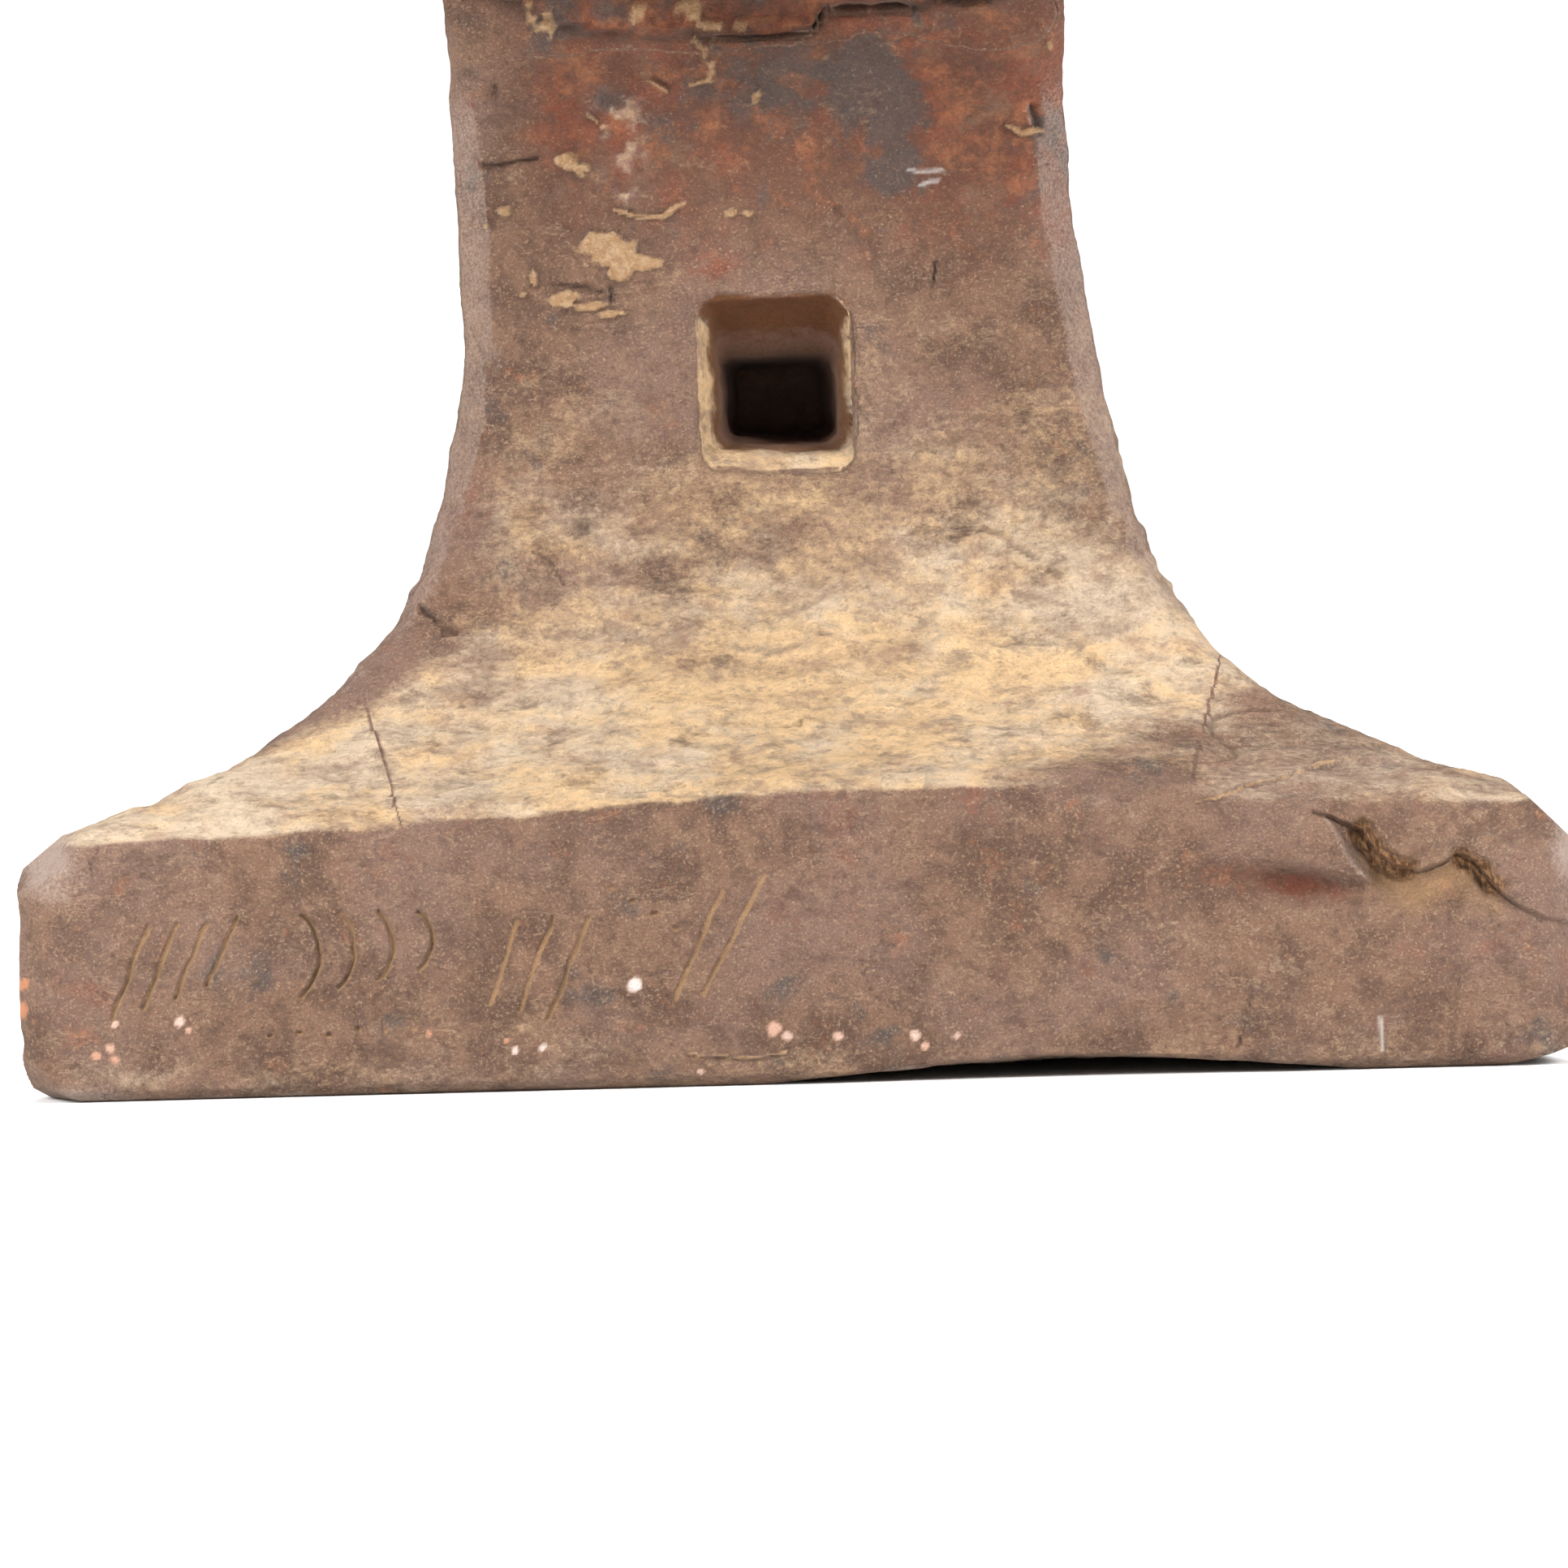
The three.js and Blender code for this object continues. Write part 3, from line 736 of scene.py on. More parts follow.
def depth_in_holes(s):
    """0 outside the holes and 1 deep in them."""
    inward = -WAIST_FRONT_Y - np.abs(s.y)
    # the roof faces down and counts as half deep, so it gets painted shade
    roof = ramp(inward, 0.3, 2.2) * ramp(s.nz, -0.1, -0.45)
    socket = np.maximum(ramp(inward, 2, 13), 0.5 * roof) * around_hole(s.x, s.z, 12.5, 14.5)
    upright = np.abs(s.nz) < 0.6
    hardy = (np.abs(s.x) < 13) & (np.abs(s.y - HARDY_Y) < 13)
    pritchel = np.hypot(s.x - PRITCHEL[0], s.y - PRITCHEL[1]) < 7.5
    down = ramp(FACE_Z - s.z, 3, 22) * (hardy | pritchel) * upright
    return np.maximum(socket, down)


def on_horn_end(s):
    """1 on the end of foot and waist under the horn, and 0 on the sides and behind."""
    low = ramp(s.z, 172, 160)
    return low * ramp(s.y, -58, -66) * ramp(s.ny, 0.5, 0)


def in_sockets(s):
    """The walls of the two handling holes."""
    return around_hole(s.x, s.z, 12, 14) & (np.abs(s.y) < -WAIST_FRONT_Y - 0.4)


def around_sockets(s):
    """The walls of the two handling holes, with the waist right around their mouths."""
    return around_hole(s.x, s.z, 13.5, 15.5) & (np.abs(s.y) < 80)


def dust_weight(s):
    """Dust on the horn end, on all else and in the handling holes, where the pale side walls are
    painted light.
    """
    horn_end = on_horn_end(s)
    dust = settled_dust(s) * (1 - horn_end) + front_dust(s) * horn_end
    # in the holes: dust on the floors, and pale side walls that paint the light falling in from
    # the front
    hole_dust_and_lit_walls = 0.15 + 1.1 * s.nz + 0.65 * np.abs(s.nx)
    return np.clip(np.where(in_sockets(s), hole_dust_and_lit_walls, dust), 0, 1)


def fill_weight(s, x, z):
    """Clay that stays in the tool marks and under the lap; in the marks it also paints their lit
    lower sides.
    """
    foot = on_foot_front(s)
    under_lap = bell(height_on(LAP_CRACK, x) - z, 2.6, 3) * foot
    under_lap *= ramp(s.x, 83, 88) * ramp(s.x, 110, 98)
    # the clay is set 0.12 mm to the lower right of each mark, which also paints the lit lower side
    # of its groove
    marks = nearest_of(tool_marks(), x - 0.12, z + 0.12, foot)
    return np.maximum(0.75 * ramp(marks, 0.5, 0.15), 0.6 * under_lap)


def shade_weight(s, x, z, gap):
    """Painted shade in the cracks, in the line of the lap and in the gap under the horn."""
    waist = on_waist_front(s)
    cracks = np.zeros(len(x))
    ragged = raggedness(s.points[waist])
    for path, half_width, _depth in CRACKS:
        near = distance_to_path(x[waist], z[waist], path) / half_width
        cracks[waist] = np.maximum(cracks[waist], ramp(near + ragged, 1, 0.3))
    lap_line = ramp(distance_to_path(x, z, LAP_CRACK), 0.4, 0.1)
    lap_line *= on_foot_front(s) & (s.x > 78)
    return np.maximum.reduce([0.3 * cracks, 0.1 * lap_line, 0.85 * gap])


def chip_weights(s, x, z):
    """Where chips of paint and lime lie on the foot's front, and how white they are there."""
    foot = on_foot_front(s)
    ragged = 0.25 * gradient_noise(s.points[foot], 1.1, 112)
    chips, white = np.zeros(len(x)), np.zeros(len(x))
    for chip_x, chip_z, radius, whiteness in CHIPS:
        near = np.hypot(x[foot] - chip_x, z[foot] - chip_z)
        here = ramp(near + radius * ragged, radius, 0.6 * radius)
        chips[foot] = np.maximum(chips[foot], here)
        white[foot] = np.maximum(white[foot], here * whiteness)
    return chips, white


def lime_weight(s):
    """A thin wash of lime over the middle of the waist."""
    patches = layered_noise(s.points, 3.4, 113, gain=0.7)
    lime = spot(s.x, s.z, -24, 145, 4.2, 7.5) + 0.7 * spot(s.x, s.z, -23.5, 135.5, 2.4, 3.6)
    return lime * ramp(patches, 0.05, 0.6) * on_waist_front(s)


def red_weight(s, x, z):
    """Red rust: on the upper parts, in the hollow beside the lap and on the horn's root."""
    horn_end = on_horn_end(s)
    upper = ramp(s.z, 118, 146) * (1 - 0.45 * ramp(s.z, FACE_Z - 30, FACE_Z))
    on_front = ramp(s.x, -48, -30) * (0.55 + 0.45 * ramp(s.x, 50, 38))
    red = upper * (on_front * horn_end + 0.8 * (1 - horn_end))
    red += 0.45 * spot(s.x, s.z, 33, 142, 13, 17) * horn_end
    hollow = spot(s.x, s.z, 74, 27.6 + 0.16 * (78 - s.x), 10, 2) * on_foot_front(s)
    hollow *= ramp(s.x, 86.5, 84)
    root = ramp(z - height_on(HORN_CRACK, x), -0.4, 0.8) * ramp(s.y, -68, -74)
    root *= ramp(s.z, 200, 172)
    roof = in_sockets(s) * ramp(s.nz, -0.1, -0.5)
    return np.clip(np.maximum.reduce([red, 1.2 * hollow, 1.6 * root, 0.7 * roof]), 0, 1.6)


def wear_weight(s, x, z):
    """Bare metal on whatever stands proud and on the battered corners of the foot, with a painted
    highlight on the waist's flattened arrises and along the facet's edge.
    """
    nicked = 0.5 + 0.5 * layered_noise(s.points, 5, 121, layers=2)
    wear = ramp(s.proud(8), 0.22, 0.75) * np.clip(0.35 + 0.9 * nicked, 0, 1)
    # painted highlight along the edge of the lump's facet
    facet = ramp(distance_to_path(x, z, FACET_HIGHLIGHT_PATH), 0.8, 0.1) * on_foot_front(s)
    wear = np.maximum(wear, 0.5 * facet)
    under_horn = ramp(s.y, -58, -66) * ramp(s.z, 152, 156) * ramp(s.z, 190, 176)
    wear *= 1 - under_horn
    upper_left = spot(s.x, s.z, -112, 36, 7, 7)
    lower_left = spot(s.x, s.z, -110, 0, 12, 2.6)
    upper_right = spot(s.x, s.z, 115.5, 32, 3, 9)
    corners = np.maximum.reduce([upper_left, lower_left, upper_right]) * (s.y < -100)
    # painted highlight on the flattened arrises of waist and flare
    arris_highlight = ramp(s.z, 50, 62) * ramp(s.z, 158, 146)
    arris_highlight *= ramp(np.abs(s.nx), 0.3, 0.6) * ramp(np.abs(s.ny), 0.1, 0.3)
    wear = np.maximum.reduce([wear, corners * (0.55 + 0.7 * nicked), 0.55 * arris_highlight])
    return np.clip(wear * ~around_sockets(s), 0, 1)


def surface_layers(s, gap):
    """Named weights at each point, from 0 to 1 except for red, which the materials read."""
    x, z = wandered(s)
    horn_end, around = on_horn_end(s), around_sockets(s)
    chips, white = chip_weights(s, x, z)
    scratches = nearest_of(PALE_SCRATCHES, x, z, on_waist_front(s))
    lime = lime_weight(s)
    clay = np.maximum(clay_on(s, x, z), 0.8 * lime)
    return {
        "dust": dust_weight(s),
        "fill": fill_weight(s, x, z),
        "clay": clay,
        "red": red_weight(s, x, z),
        "wear": wear_weight(s, x, z),
        "torn": lap_pockets(s, x, z) * on_foot_front(s),
        "slate": spot(s.x, s.z, 8, 148, 24, 11) * horn_end,
        "shade": shade_weight(s, x, z, gap),
        "depth": depth_in_holes(s),
        "gold": np.maximum(bell(s.x, 0, 58) * horn_end, around),
        "chips": chips,
        "white": np.maximum.reduce([white, 0.5 * ramp(scratches, 0.36, 0.1), 0.15 * lime]),
        # painted shade where the surface lies lower than its neighbourhood
        "crevice_shade": np.clip(-s.proud(3) / 0.3, 0, 1) * ~around * (1 - clay),
        # where shade is painted on the upper parts
        "upper": ramp(s.z, 160, 182),
    }


def add_layers(mesh, layers):
    for name, values in layers.items():
        attribute = mesh.attributes.new(name, "FLOAT", "POINT")
        attribute.data.foreach_set("value", values.astype(np.float32))


def weathered_skin():
    skin = fused_skin()
    for region_test in (seen_from_the_front, finely_marked, along_marks):
        refine(skin, region_test)
    mesh = skin.data
    write_points(mesh, upright_root(lean(hammered_flat(Surface(mesh).points))))
    points, gap = weathered(Surface(mesh))
    write_points(mesh, points)
    add_layers(mesh, surface_layers(Surface(mesh), gap))
    return skin


# ---- Cutting the skin into forgings ----

def half_space(point, normal):
    """A large box whose one face lies on a plane, on the side its normal points to."""
    reach = 2000 * MM
    mesh = bpy.data.meshes.new("half_space")
    box = bmesh.new()
    bmesh.ops.create_cube(box, size=reach)
    turn = Vector(normal).to_track_quat("Z", "Y").to_matrix().to_4x4()
    place = Matrix.Translation(Vector(point) * MM) @ turn @ Matrix.Translation((0, 0, reach / 2))
    box.transform(place)
    box.to_mesh(mesh)
    box.free()
    return new_object("half_space", mesh)


def combine(piece, other, operation):
    step = piece.modifiers.new(operation.lower(), "BOOLEAN")
    step.operation = operation
    step.object = other
    step.solver = "MANIFOLD"
    apply_modifiers(piece)


def region(*planes):
    """The space on the outer side of every given (point, normal) plane."""
    first, *others = [half_space(point, normal) for point, normal in planes]
    for other in others:
        combine(first, other, "INTERSECT")
        bpy.data.objects.remove(other)
    return first


def take(rest, name, space):
    """Cuts the part of the rest that lies in a space off it, as a piece of its own."""
    piece = new_object(name, rest.data.copy())
    combine(piece, space, "INTERSECT")
    combine(rest, space, "DIFFERENCE")
    bpy.data.objects.remove(space)
    return piece


def slanted_plane(scarf, sign, axis):
    """The plane of a scarf, facing away from the core. The axis is 0 for X and 1 for Y."""
    (low, low_z), (high, high_z) = scarf
    point = [0, 0, low_z]
    normal = [0, 0, low - high]
    point[axis] = sign * low
    normal[axis] = sign * (high_z - low_z)
    return point, normal


def cut_into_forgings(skin):
    up = (0, 0, 1)
    above_waist = ((0, 0, WAIST_Z), up)
    above_plate_weld = ((0, 0, PLATE_BOTTOM_Z), up)
    behind_step = ((0, STEP_Y - 3, 0), (0, 1, 0))
    pieces = {"face_plate": take(skin, "steel_face", region(above_plate_weld, behind_step))}
    for node, sign in (("horn", -1), ("heel", 1)):
        space = region(slanted_plane(END_SCARF, sign, 1), above_waist)
        pieces[node] = take(skin, f"forged_{node}", space)
    for side, flank in (("left", -1), ("right", 1)):
        for end, along in (("front", -1), ("rear", 1)):
            this_end = ((0, 0, 0), (0, along, 0))
            space = region(slanted_plane(CORNER_SCARF, flank, 0), this_end)
            pieces[f"{end}_{side}_foot_corner"] = take(skin, f"forged_{end}_{side}_corner", space)
    skin.name = "forged_core"
    pieces["core_block"] = skin
    return pieces


# ---- Materials ----

class Shader:
    """Short calls that add nodes to one material."""

    def __init__(self, name):
        self.material = bpy.data.materials.new(name)
        self.material.use_nodes = True
        self.tree = self.material.node_tree
        self.surface = self.tree.nodes["Principled BSDF"]
        self.place = self.node("ShaderNodeTexCoord").outputs["Object"]

    def node(self, kind, **settings):
        made = self.tree.nodes.new(kind)
        for key, value in settings.items():
            setattr(made, key, value)
        return made

    def feed(self, socket, value):
        if isinstance(value, bpy.types.NodeSocket):
            self.tree.links.new(value, socket)
        else:
            socket.default_value = value

    def put(self, name, value):
        """Sets or links one input of the material's surface."""
        self.feed(self.surface.inputs[name], value)

    def stretched(self, scale):
        """Places for noise whose features are longer along the axes with a scale under 1."""
        mapping = self.node("ShaderNodeMapping")
        self.feed(mapping.inputs["Vector"], self.place)
        self.feed(mapping.inputs["Scale"], scale)
        return mapping.outputs["Vector"]

    def noise(self, size, detail=6.0, roughness=0.6, distortion=0.0, place=None):
        """Noise with features about size millimetres across."""
        made = self.node("ShaderNodeTexNoise")
        self.feed(made.inputs["Vector"], place or self.place)
        self.feed(made.inputs["Scale"], 1.0 / (size * MM))
        self.feed(made.inputs["Detail"], detail)
        self.feed(made.inputs["Roughness"], roughness)
        self.feed(made.inputs["Distortion"], distortion)
        return made.outputs["Fac"]

    def between(self, value, low, high, top=1.0):
        """0 where value is low and top where it is high, clamped and smooth."""
        made = self.node("ShaderNodeMapRange", interpolation_type="SMOOTHSTEP")
        self.feed(made.inputs["Value"], value)
        self.feed(made.inputs["From Min"], low)
        self.feed(made.inputs["From Max"], high)
        self.feed(made.inputs["To Max"], top)
        return made.outputs["Result"]

    def thin_band(self, value, middle, half_width):
        """1 where value is at the middle, and 0 from half_width away from it."""
        away = self.math("ABSOLUTE", self.math("SUBTRACT", value, middle))
        return self.between(away, half_width, 0.0)

    def math(self, operation, first, second=0.0, third=None):
        made = self.node("ShaderNodeMath", operation=operation)
        self.feed(made.inputs[0], first)
        self.feed(made.inputs[1], second)
        if third is not None:
            self.feed(made.inputs[2], third)
        return made.outputs["Value"]

    def times(self, first, second):
        return self.math("MULTIPLY", first, second)

    def lifted(self, value, by, scale):
        """The value plus another one times a scale."""
        return self.math("MULTIPLY_ADD", by, scale, value)

    def mix(self, factor, first, second):
        made = self.node("ShaderNodeMix", data_type="RGBA")
        self.feed(made.inputs["Factor"], factor)
        self.feed(made.inputs["A"], first)
        self.feed(made.inputs["B"], second)
        return made.outputs["Result"]

    def over(self, shade, coat, value, low, high, top=1.0):
        """The shade, with another laid over it where value is high."""
        return self.mix(self.between(value, low, high, top), shade, coat)

    def varied(self, value, noise, scale):
        """The value with noise around it, which breaks up its edges."""
        return self.lifted(value, self.math("SUBTRACT", noise, 0.5), scale)

    def weight(self, name):
        return self.node("ShaderNodeAttribute", attribute_name=name).outputs["Fac"]

    def bump(self, height, distance, strength=1.0, normal=None):
        made = self.node("ShaderNodeBump")
        self.feed(made.inputs["Height"], height)
        self.feed(made.inputs["Distance"], distance * MM)
        self.feed(made.inputs["Strength"], strength)
        if normal is not None:
            self.feed(made.inputs["Normal"], normal)
        return made.outputs["Normal"]


def colour(red, green, blue):
    return (red, green, blue, 1.0)


IRON_BROWN = colour(0.232, 0.130, 0.085)
IRON_DARK = colour(0.098, 0.056, 0.040)
IRON_MAUVE = colour(0.236, 0.145, 0.110)
IRON_TAN = colour(0.43, 0.29, 0.19)
RUST_ORANGE = colour(0.43, 0.162, 0.074)
RUST_RED = colour(0.235, 0.068, 0.038)
UPPER_BROWN = colour(0.152, 0.062, 0.040)
SLATE = colour(0.092, 0.075, 0.070)
UPPER_SHADE = colour(0.070, 0.037, 0.027)
SAND_GOLD = colour(0.82, 0.56, 0.305)
SAND_PALE = colour(0.72, 0.57, 0.405)
SAND_GREY = colour(0.36, 0.265, 0.185)
SAND_PINK = colour(0.40, 0.245, 0.165)
CLAY = colour(0.44, 0.26, 0.125)
CLAY_PALE = colour(0.58, 0.39, 0.225)
CHIP_ORANGE = colour(0.62, 0.27, 0.14)
CHIP_WHITE = colour(0.80, 0.74, 0.68)
WORN = colour(0.47, 0.36, 0.30)
FIBRE_DARK = colour(0.15, 0.068, 0.030)
FIBRE_TAN = colour(0.50, 0.27, 0.125)
# near black, used for painted shade in cracks, gaps and holes
PAINTED_SHADE_BLACK = colour(0.026, 0.013, 0.008)
HOLE_SHADE_BROWN = colour(0.15, 0.054, 0.016)
HOLE_DEEP = colour(0.24, 0.125, 0.080)
STEEL = colour(0.120, 0.104, 0.094)
STEEL_BROWN = colour(0.072, 0.047, 0.036)
STEEL_BRIGHT = colour(0.34, 0.31, 0.28)


def rusty_ground(s, fine):
    """The iron itself under the dust: brown and mauve scale, with rust and bare slate, and painted
    shade on the upper parts.
    """
    red = s.weight("red")
    shade = s.over(IRON_BROWN, IRON_DARK, s.noise(8.0, 7.0, 0.62), 0.42, 0.62, 0.8)
    shade = s.over(shade, IRON_MAUVE, s.noise(26.0, 5.0, 0.58), 0.44, 0.62, 0.8)
    shade = s.mix(s.times(red, s.between(s.noise(11.0, 6.0, 0.6), 0.30, 0.52)), shade, UPPER_BROWN)
    deep = s.lifted(s.noise(13.0, 9.0, 0.72), red, 0.11)
    shade = s.over(shade, RUST_RED, deep, 0.57, 0.76, 0.85)
    orange = s.lifted(s.noise(8.0, 10.0, 0.78), red, 0.09)
    shade = s.over(shade, RUST_ORANGE, orange, 0.56, 0.76, 0.80)
    bare = s.lifted(s.lifted(s.noise(12.0, 6.0, 0.6, 0.2), red, 0.03), s.weight("slate"), 0.12)
    shade = s.over(shade, SLATE, bare, 0.59, 0.70, 0.85)
    speckled = s.lifted(s.noise(0.42, 3.0, 0.7), red, -0.05)
    shade = s.over(shade, IRON_TAN, speckled, 0.52, 0.68, 0.75)
    grain = s.noise(4.0, 7.0, 0.6, 0.3, place=s.stretched((0.4, 0.6, 1.0)))
    broken = s.between(s.lifted(s.noise(7.0), red, -0.12), 0.46, 0.60, 0.45)
    shade = s.mix(s.times(broken, s.thin_band(grain, 0.535, 0.016)), shade, IRON_TAN)
    shade = s.mix(s.times(broken, s.thin_band(grain, 0.50, 0.020)), shade, IRON_DARK)
    shade = s.over(shade, IRON_DARK, fine, 0.50, 0.70, 0.60)
    # painted shade on the upper parts, which the light from above falls on most
    upper = s.times(s.weight("upper"), s.between(s.noise(18.0, 8.0, 0.7), 0.25, 0.60, 0.85))
    return s.mix(upper, shade, UPPER_SHADE)


def sandy_cover(s, fine):
    """The colour of thick dust: gold, pale, grey and pinkish, in soft level streaks."""
    flow = s.stretched((0.75, 0.9, 1.0))
    golden = s.lifted(s.noise(13.0, 8.0, 0.68, place=flow), s.weight("gold"), 0.16)
    shade = s.over(SAND_PALE, SAND_GOLD, golden, 0.48, 0.70)
    shade = s.over(shade, SAND_GREY, s.noise(4.5, 9.0, 0.76, 0.2, flow), 0.47, 0.66, 0.85)
    shade = s.over(shade, SAND_PINK, s.noise(7.0, 9.0, 0.74, 0.2, flow), 0.50, 0.68, 0.75)
    return s.over(shade, SAND_GREY, fine, 0.50, 0.68, 0.6)


def with_marks(s, shade, grit):
    """Lays wear, clay, torn fibres and chips over the shade, then painted shade in crevices,
    cracks and gaps.
    """
    worn = s.varied(s.weight("wear"), s.noise(0.5, 3.0, 0.7), 1.4)
    shade = s.over(shade, WORN, worn, 0.20, 1.05, 0.80)
    shade = s.mix(s.varied(s.weight("fill"), grit, 0.6), shade, CLAY)
    clay = s.over(CLAY, CLAY_PALE, s.noise(1.2, 5.0, 0.75), 0.42, 0.62)
    shade = s.over(shade, clay, s.varied(s.weight("clay"), grit, 1.7), 0.20, 0.95, 0.82)
    fibres = s.noise(0.7, 4.0, 0.65, place=s.stretched((1.0, 1.0, 0.3)))
    shade = s.mix(s.weight("torn"), shade, s.over(FIBRE_DARK, FIBRE_TAN, fibres, 0.42, 0.62))
    shade = s.mix(s.weight("chips"), shade, CHIP_ORANGE)
    shade = s.mix(s.weight("white"), shade, CHIP_WHITE)
    # painted shade in the crevices
    shade = s.mix(s.times(s.weight("crevice_shade"), 0.55), shade, IRON_DARK)
    # painted shade: near black in the cracks, in the lap's line and in the horn's gap
    return s.mix(s.weight("shade"), shade, PAINTED_SHADE_BLACK)


def with_dark_holes(s, shade):
    """Painted shade in the mouths and on the roofs of the handling holes, and a paler brown deep
    in them.
    """
    depth = s.varied(s.weight("depth"), s.noise(3.5), 0.8)
    depth = s.times(depth, s.between(s.weight("depth"), 0.0, 0.15))
    # painted shade in the mouths and on the roofs of the holes
    shade = s.over(shade, HOLE_SHADE_BROWN, depth, 0.05, 0.40, 0.9)
    return s.over(shade, HOLE_DEEP, depth, 0.62, 1.0)


def wrought_iron():
    s = Shader("rusted_wrought_iron")
    fine = s.noise(1.7, 6.0, 0.75)
    grit = s.noise(0.9, 4.0, 0.65, place=s.stretched((0.7, 1.0, 1.0)))
    patches = s.noise(6.5, 9.0, 0.74, place=s.stretched((0.6, 1.0, 1.0)))
    relief = s.noise(5.0, 9.0, 0.74, place=s.stretched((0.7, 0.9, 1.0)))
    coverage = s.varied(s.varied(s.weight("dust"), grit, 0.75), patches, 1.1)
    shade = s.over(rusty_ground(s, fine), sandy_cover(s, fine), coverage, 0.12, 0.92, 0.96)
    # painted shade in the hollows of the bump's relief
    shade = s.over(shade, IRON_DARK, relief, 0.47, 0.33, 0.55)
    shade = with_dark_holes(s, with_marks(s, shade, grit))
    s.put("Base Color", shade)
    s.put("Roughness", s.math("MULTIPLY_ADD", fine, 0.3, 0.68))
    s.put("Specular IOR Level", 0.18)
    s.put("Sheen Weight", 0.06)
    s.put("Sheen Roughness", 0.3)
    s.put("Normal", s.bump(fine, 0.9, 0.9, s.bump(relief, 5.0)))
    return s.material


def worn_steel():
    """The face: dull steel, brown where the hammer seldom falls, with painted shade down in its
    holes.
    """
    s = Shader("worn_face_steel")
    fine = s.noise(1.7, 6.0, 0.68)
    grit = s.noise(0.9, 4.0, 0.6)
    brown = s.lifted(s.noise(34.0, 10.0, 0.72, 0.2), s.weight("wear"), -0.16)
    rusted = s.between(brown, 0.44, 0.74, 0.8)
    metal = s.over(STEEL, STEEL_BROWN, s.noise(16.0, 8.0, 0.66), 0.30, 0.70)
    shade = s.mix(rusted, metal, rusty_ground(s, fine))
    coverage = s.lifted(s.lifted(grit, s.weight("dust"), 0.4), s.noise(14.0), 0.16)
    shade = s.over(shade, SAND_GREY, coverage, 0.70, 1.15, 0.35)
    shade = s.over(shade, STEEL_BRIGHT, s.varied(s.weight("wear"), fine, 0.9), 0.55, 1.1, 0.5)
    # painted shade: near black down in the hardy and pritchel holes
    shade = s.mix(s.times(s.weight("depth"), 0.9), shade, PAINTED_SHADE_BLACK)
    roughness = s.lifted(s.math("MULTIPLY_ADD", fine, 0.3, 0.60), rusted, 0.1)
    s.put("Base Color", shade)
    s.put("Metallic", s.between(rusted, 0.9, 0.1, 0.3))
    s.put("Roughness", roughness)
    s.put("Specular IOR Level", 0.25)
    coarse = s.bump(s.noise(9.0, 6.0, 0.6), 0.5, 0.5)
    s.put("Normal", s.bump(grit, 0.15, 0.5, coarse))
    return s.material


# ---- The pieces ----

def build_anvil():
    skin = weathered_skin()
    iron = wrought_iron()
    steel = worn_steel()
    pieces = cut_into_forgings(skin)
    for node, piece in pieces.items():
        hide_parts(node)
    for node, piece in pieces.items():
        is_face = node == "face_plate"
        piece.data.materials.clear()
        piece.data.materials.append(steel if is_face else iron)
        piece.data.set_sharp_from_angle(angle=math.radians(70.0))
        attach(piece, "root")


# ---- Floor, light and camera ----

SEEN_WHITE = 1.1  # the studio's white, as the camera sees it behind the anvil
AMBIENT = 0.72  # the light that it gives
FLOOR_HALF = 30.0  # metres
FLOOR_GLOW = 0.38  # the floor is lit from below, as on a white light table
GLOW_START = 0.118  # metres from the anvil's middle; nearer than this the floor does not glow, which paints a shadow under the anvil
GLOW_FADE = 0.03  # metres over which the painted shadow then fades out
SOFTBOX_POWER = 34.0
SOFTBOXES = {  # each its place, what it is aimed at and its width, in metres
    "top_softbox": ((0.0, -0.2, 1.7), (0.0, 0.0, 0.1), 1.2),
    "left_softbox": ((-1.05, -1.15, 0.85), (0.0, -0.05, 0.07), 0.6),
    "right_softbox": ((1.05, -1.15, 0.85), (0.0, -0.05, 0.07), 0.6),
}
EYE = Vector((-1.3, FOOT_FRONT_Y - 1300.0, 95.0)) * MM
AIM = Vector((-1.3, FOOT_FRONT_Y, 45.2)) * MM
FIELD_OF_VIEW = 10.3  # degrees
ROLL = 1.5  # degrees


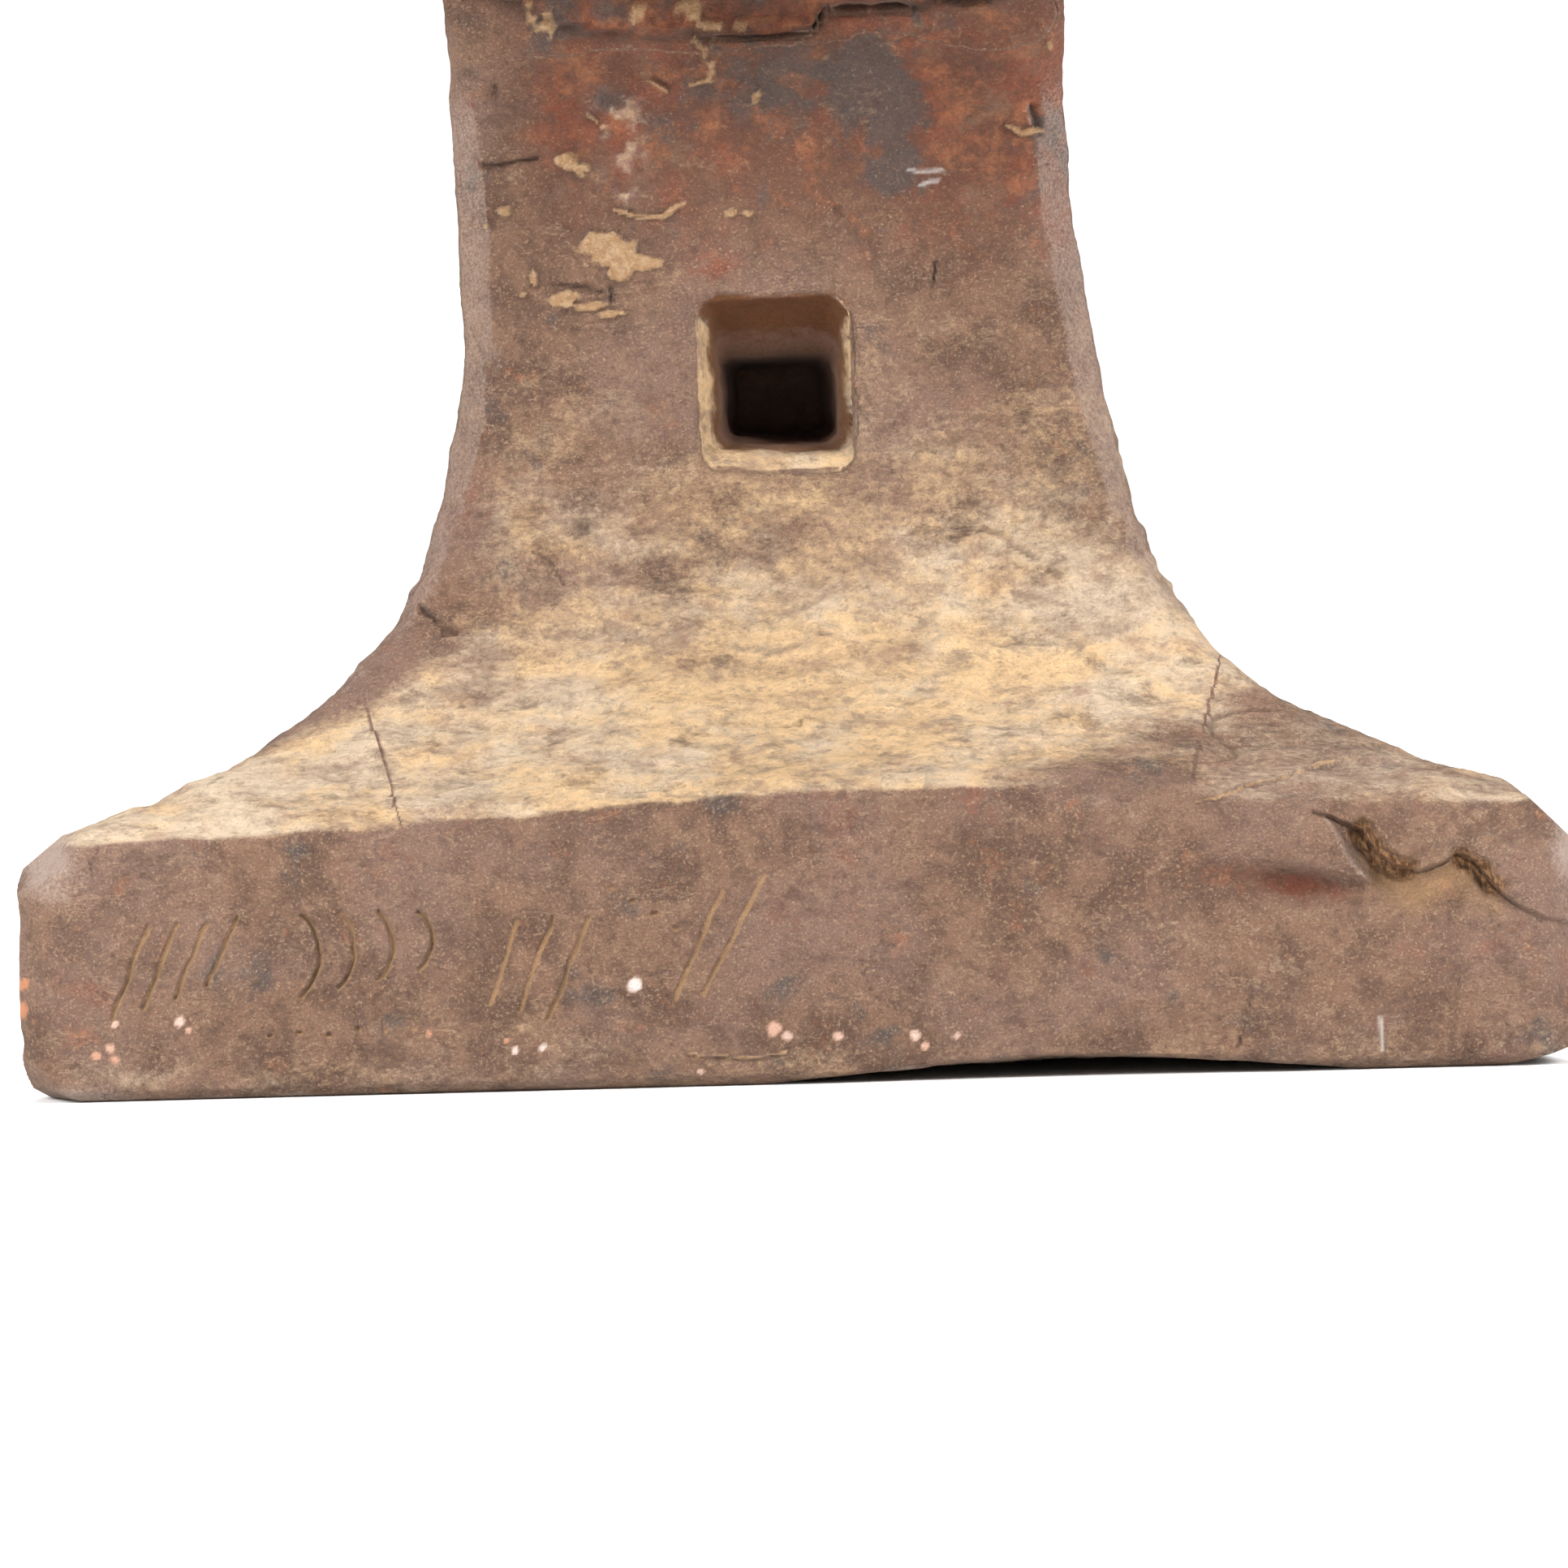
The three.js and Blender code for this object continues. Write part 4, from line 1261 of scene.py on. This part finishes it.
def white_paper():
    """Paper that glows, with a painted shadow under the anvil, where it does not glow."""
    s = Shader("white_paper")
    s.put("Base Color", colour(0.9, 0.9, 0.9))
    s.put("Emission Color", colour(1.0, 1.0, 1.0))
    s.put("Roughness", 0.9)
    axes = s.node("ShaderNodeSeparateXYZ")
    s.feed(axes.inputs["Vector"], s.node("ShaderNodeNewGeometry").outputs["Position"])
    along, across = s.math("ABSOLUTE", axes.outputs["X"]), s.math("ABSOLUTE", axes.outputs["Y"])
    glow = s.node("ShaderNodeMapRange")
    s.feed(glow.inputs["Value"], s.math("MAXIMUM", along, across))
    s.feed(glow.inputs["From Min"], GLOW_START)
    s.feed(glow.inputs["From Max"], GLOW_START + GLOW_FADE)
    s.feed(glow.inputs["To Max"], FLOOR_GLOW)
    # painted shadow: no glow near the anvil
    s.put("Emission Strength", glow.outputs["Result"])
    return s.material


def make_floor():
    mesh = bpy.data.meshes.new("floor")
    signs = ((-1, -1), (1, -1), (1, 1), (-1, 1))
    corners = [(FLOOR_HALF * x, FLOOR_HALF * y, 0) for x, y in signs]
    mesh.from_pydata(corners, [], [(0, 1, 2, 3)])
    mesh.materials.append(white_paper())
    new_object("floor", mesh)


def aimed(place, target):
    """The turn that makes a light or a camera at a place look at its target."""
    return (Vector(target) - Vector(place)).to_track_quat("-Z", "Y")


def make_softboxes():
    for name, (place, target, width) in SOFTBOXES.items():
        light = bpy.data.lights.new(name, "AREA")
        light.shape = "RECTANGLE"
        light.size = width
        light.size_y = width
        light.energy = SOFTBOX_POWER
        lamp = new_object(name, light)
        lamp.location = place
        lamp.rotation_euler = aimed(place, target).to_euler()


def make_studio():
    """White all around, a little stronger to the camera than in the light it gives."""
    world = bpy.data.worlds.new("white_studio")
    world.use_nodes = True
    nodes, links = world.node_tree.nodes, world.node_tree.links
    path = nodes.new("ShaderNodeLightPath")
    strength = nodes.new("ShaderNodeMath")
    strength.operation = "MULTIPLY_ADD"
    strength.inputs[1].default_value = SEEN_WHITE - AMBIENT
    strength.inputs[2].default_value = AMBIENT
    nodes["Background"].inputs["Color"].default_value = colour(1.0, 1.0, 1.0)
    links.new(path.outputs["Is Camera Ray"], strength.inputs[0])
    links.new(strength.outputs["Value"], nodes["Background"].inputs["Strength"])
    bpy.context.scene.world = world
    bpy.context.scene.view_settings.view_transform = "Standard"


def make_camera():
    """Close to the floor in front of the horn end, looking at the foot and the waist."""
    camera_data = bpy.data.cameras.new("camera")
    camera_data.angle = math.radians(FIELD_OF_VIEW)
    camera_data.clip_start = 0.05
    camera = new_object("camera", camera_data)
    turn = aimed(EYE, AIM).to_matrix() @ Matrix.Rotation(-math.radians(ROLL), 3, "Z")
    camera.matrix_world = Matrix.Translation(EYE) @ turn.to_4x4()
    bpy.context.scene.camera = camera


make_camera()
make_floor()
make_softboxes()
make_studio()
build_anvil()
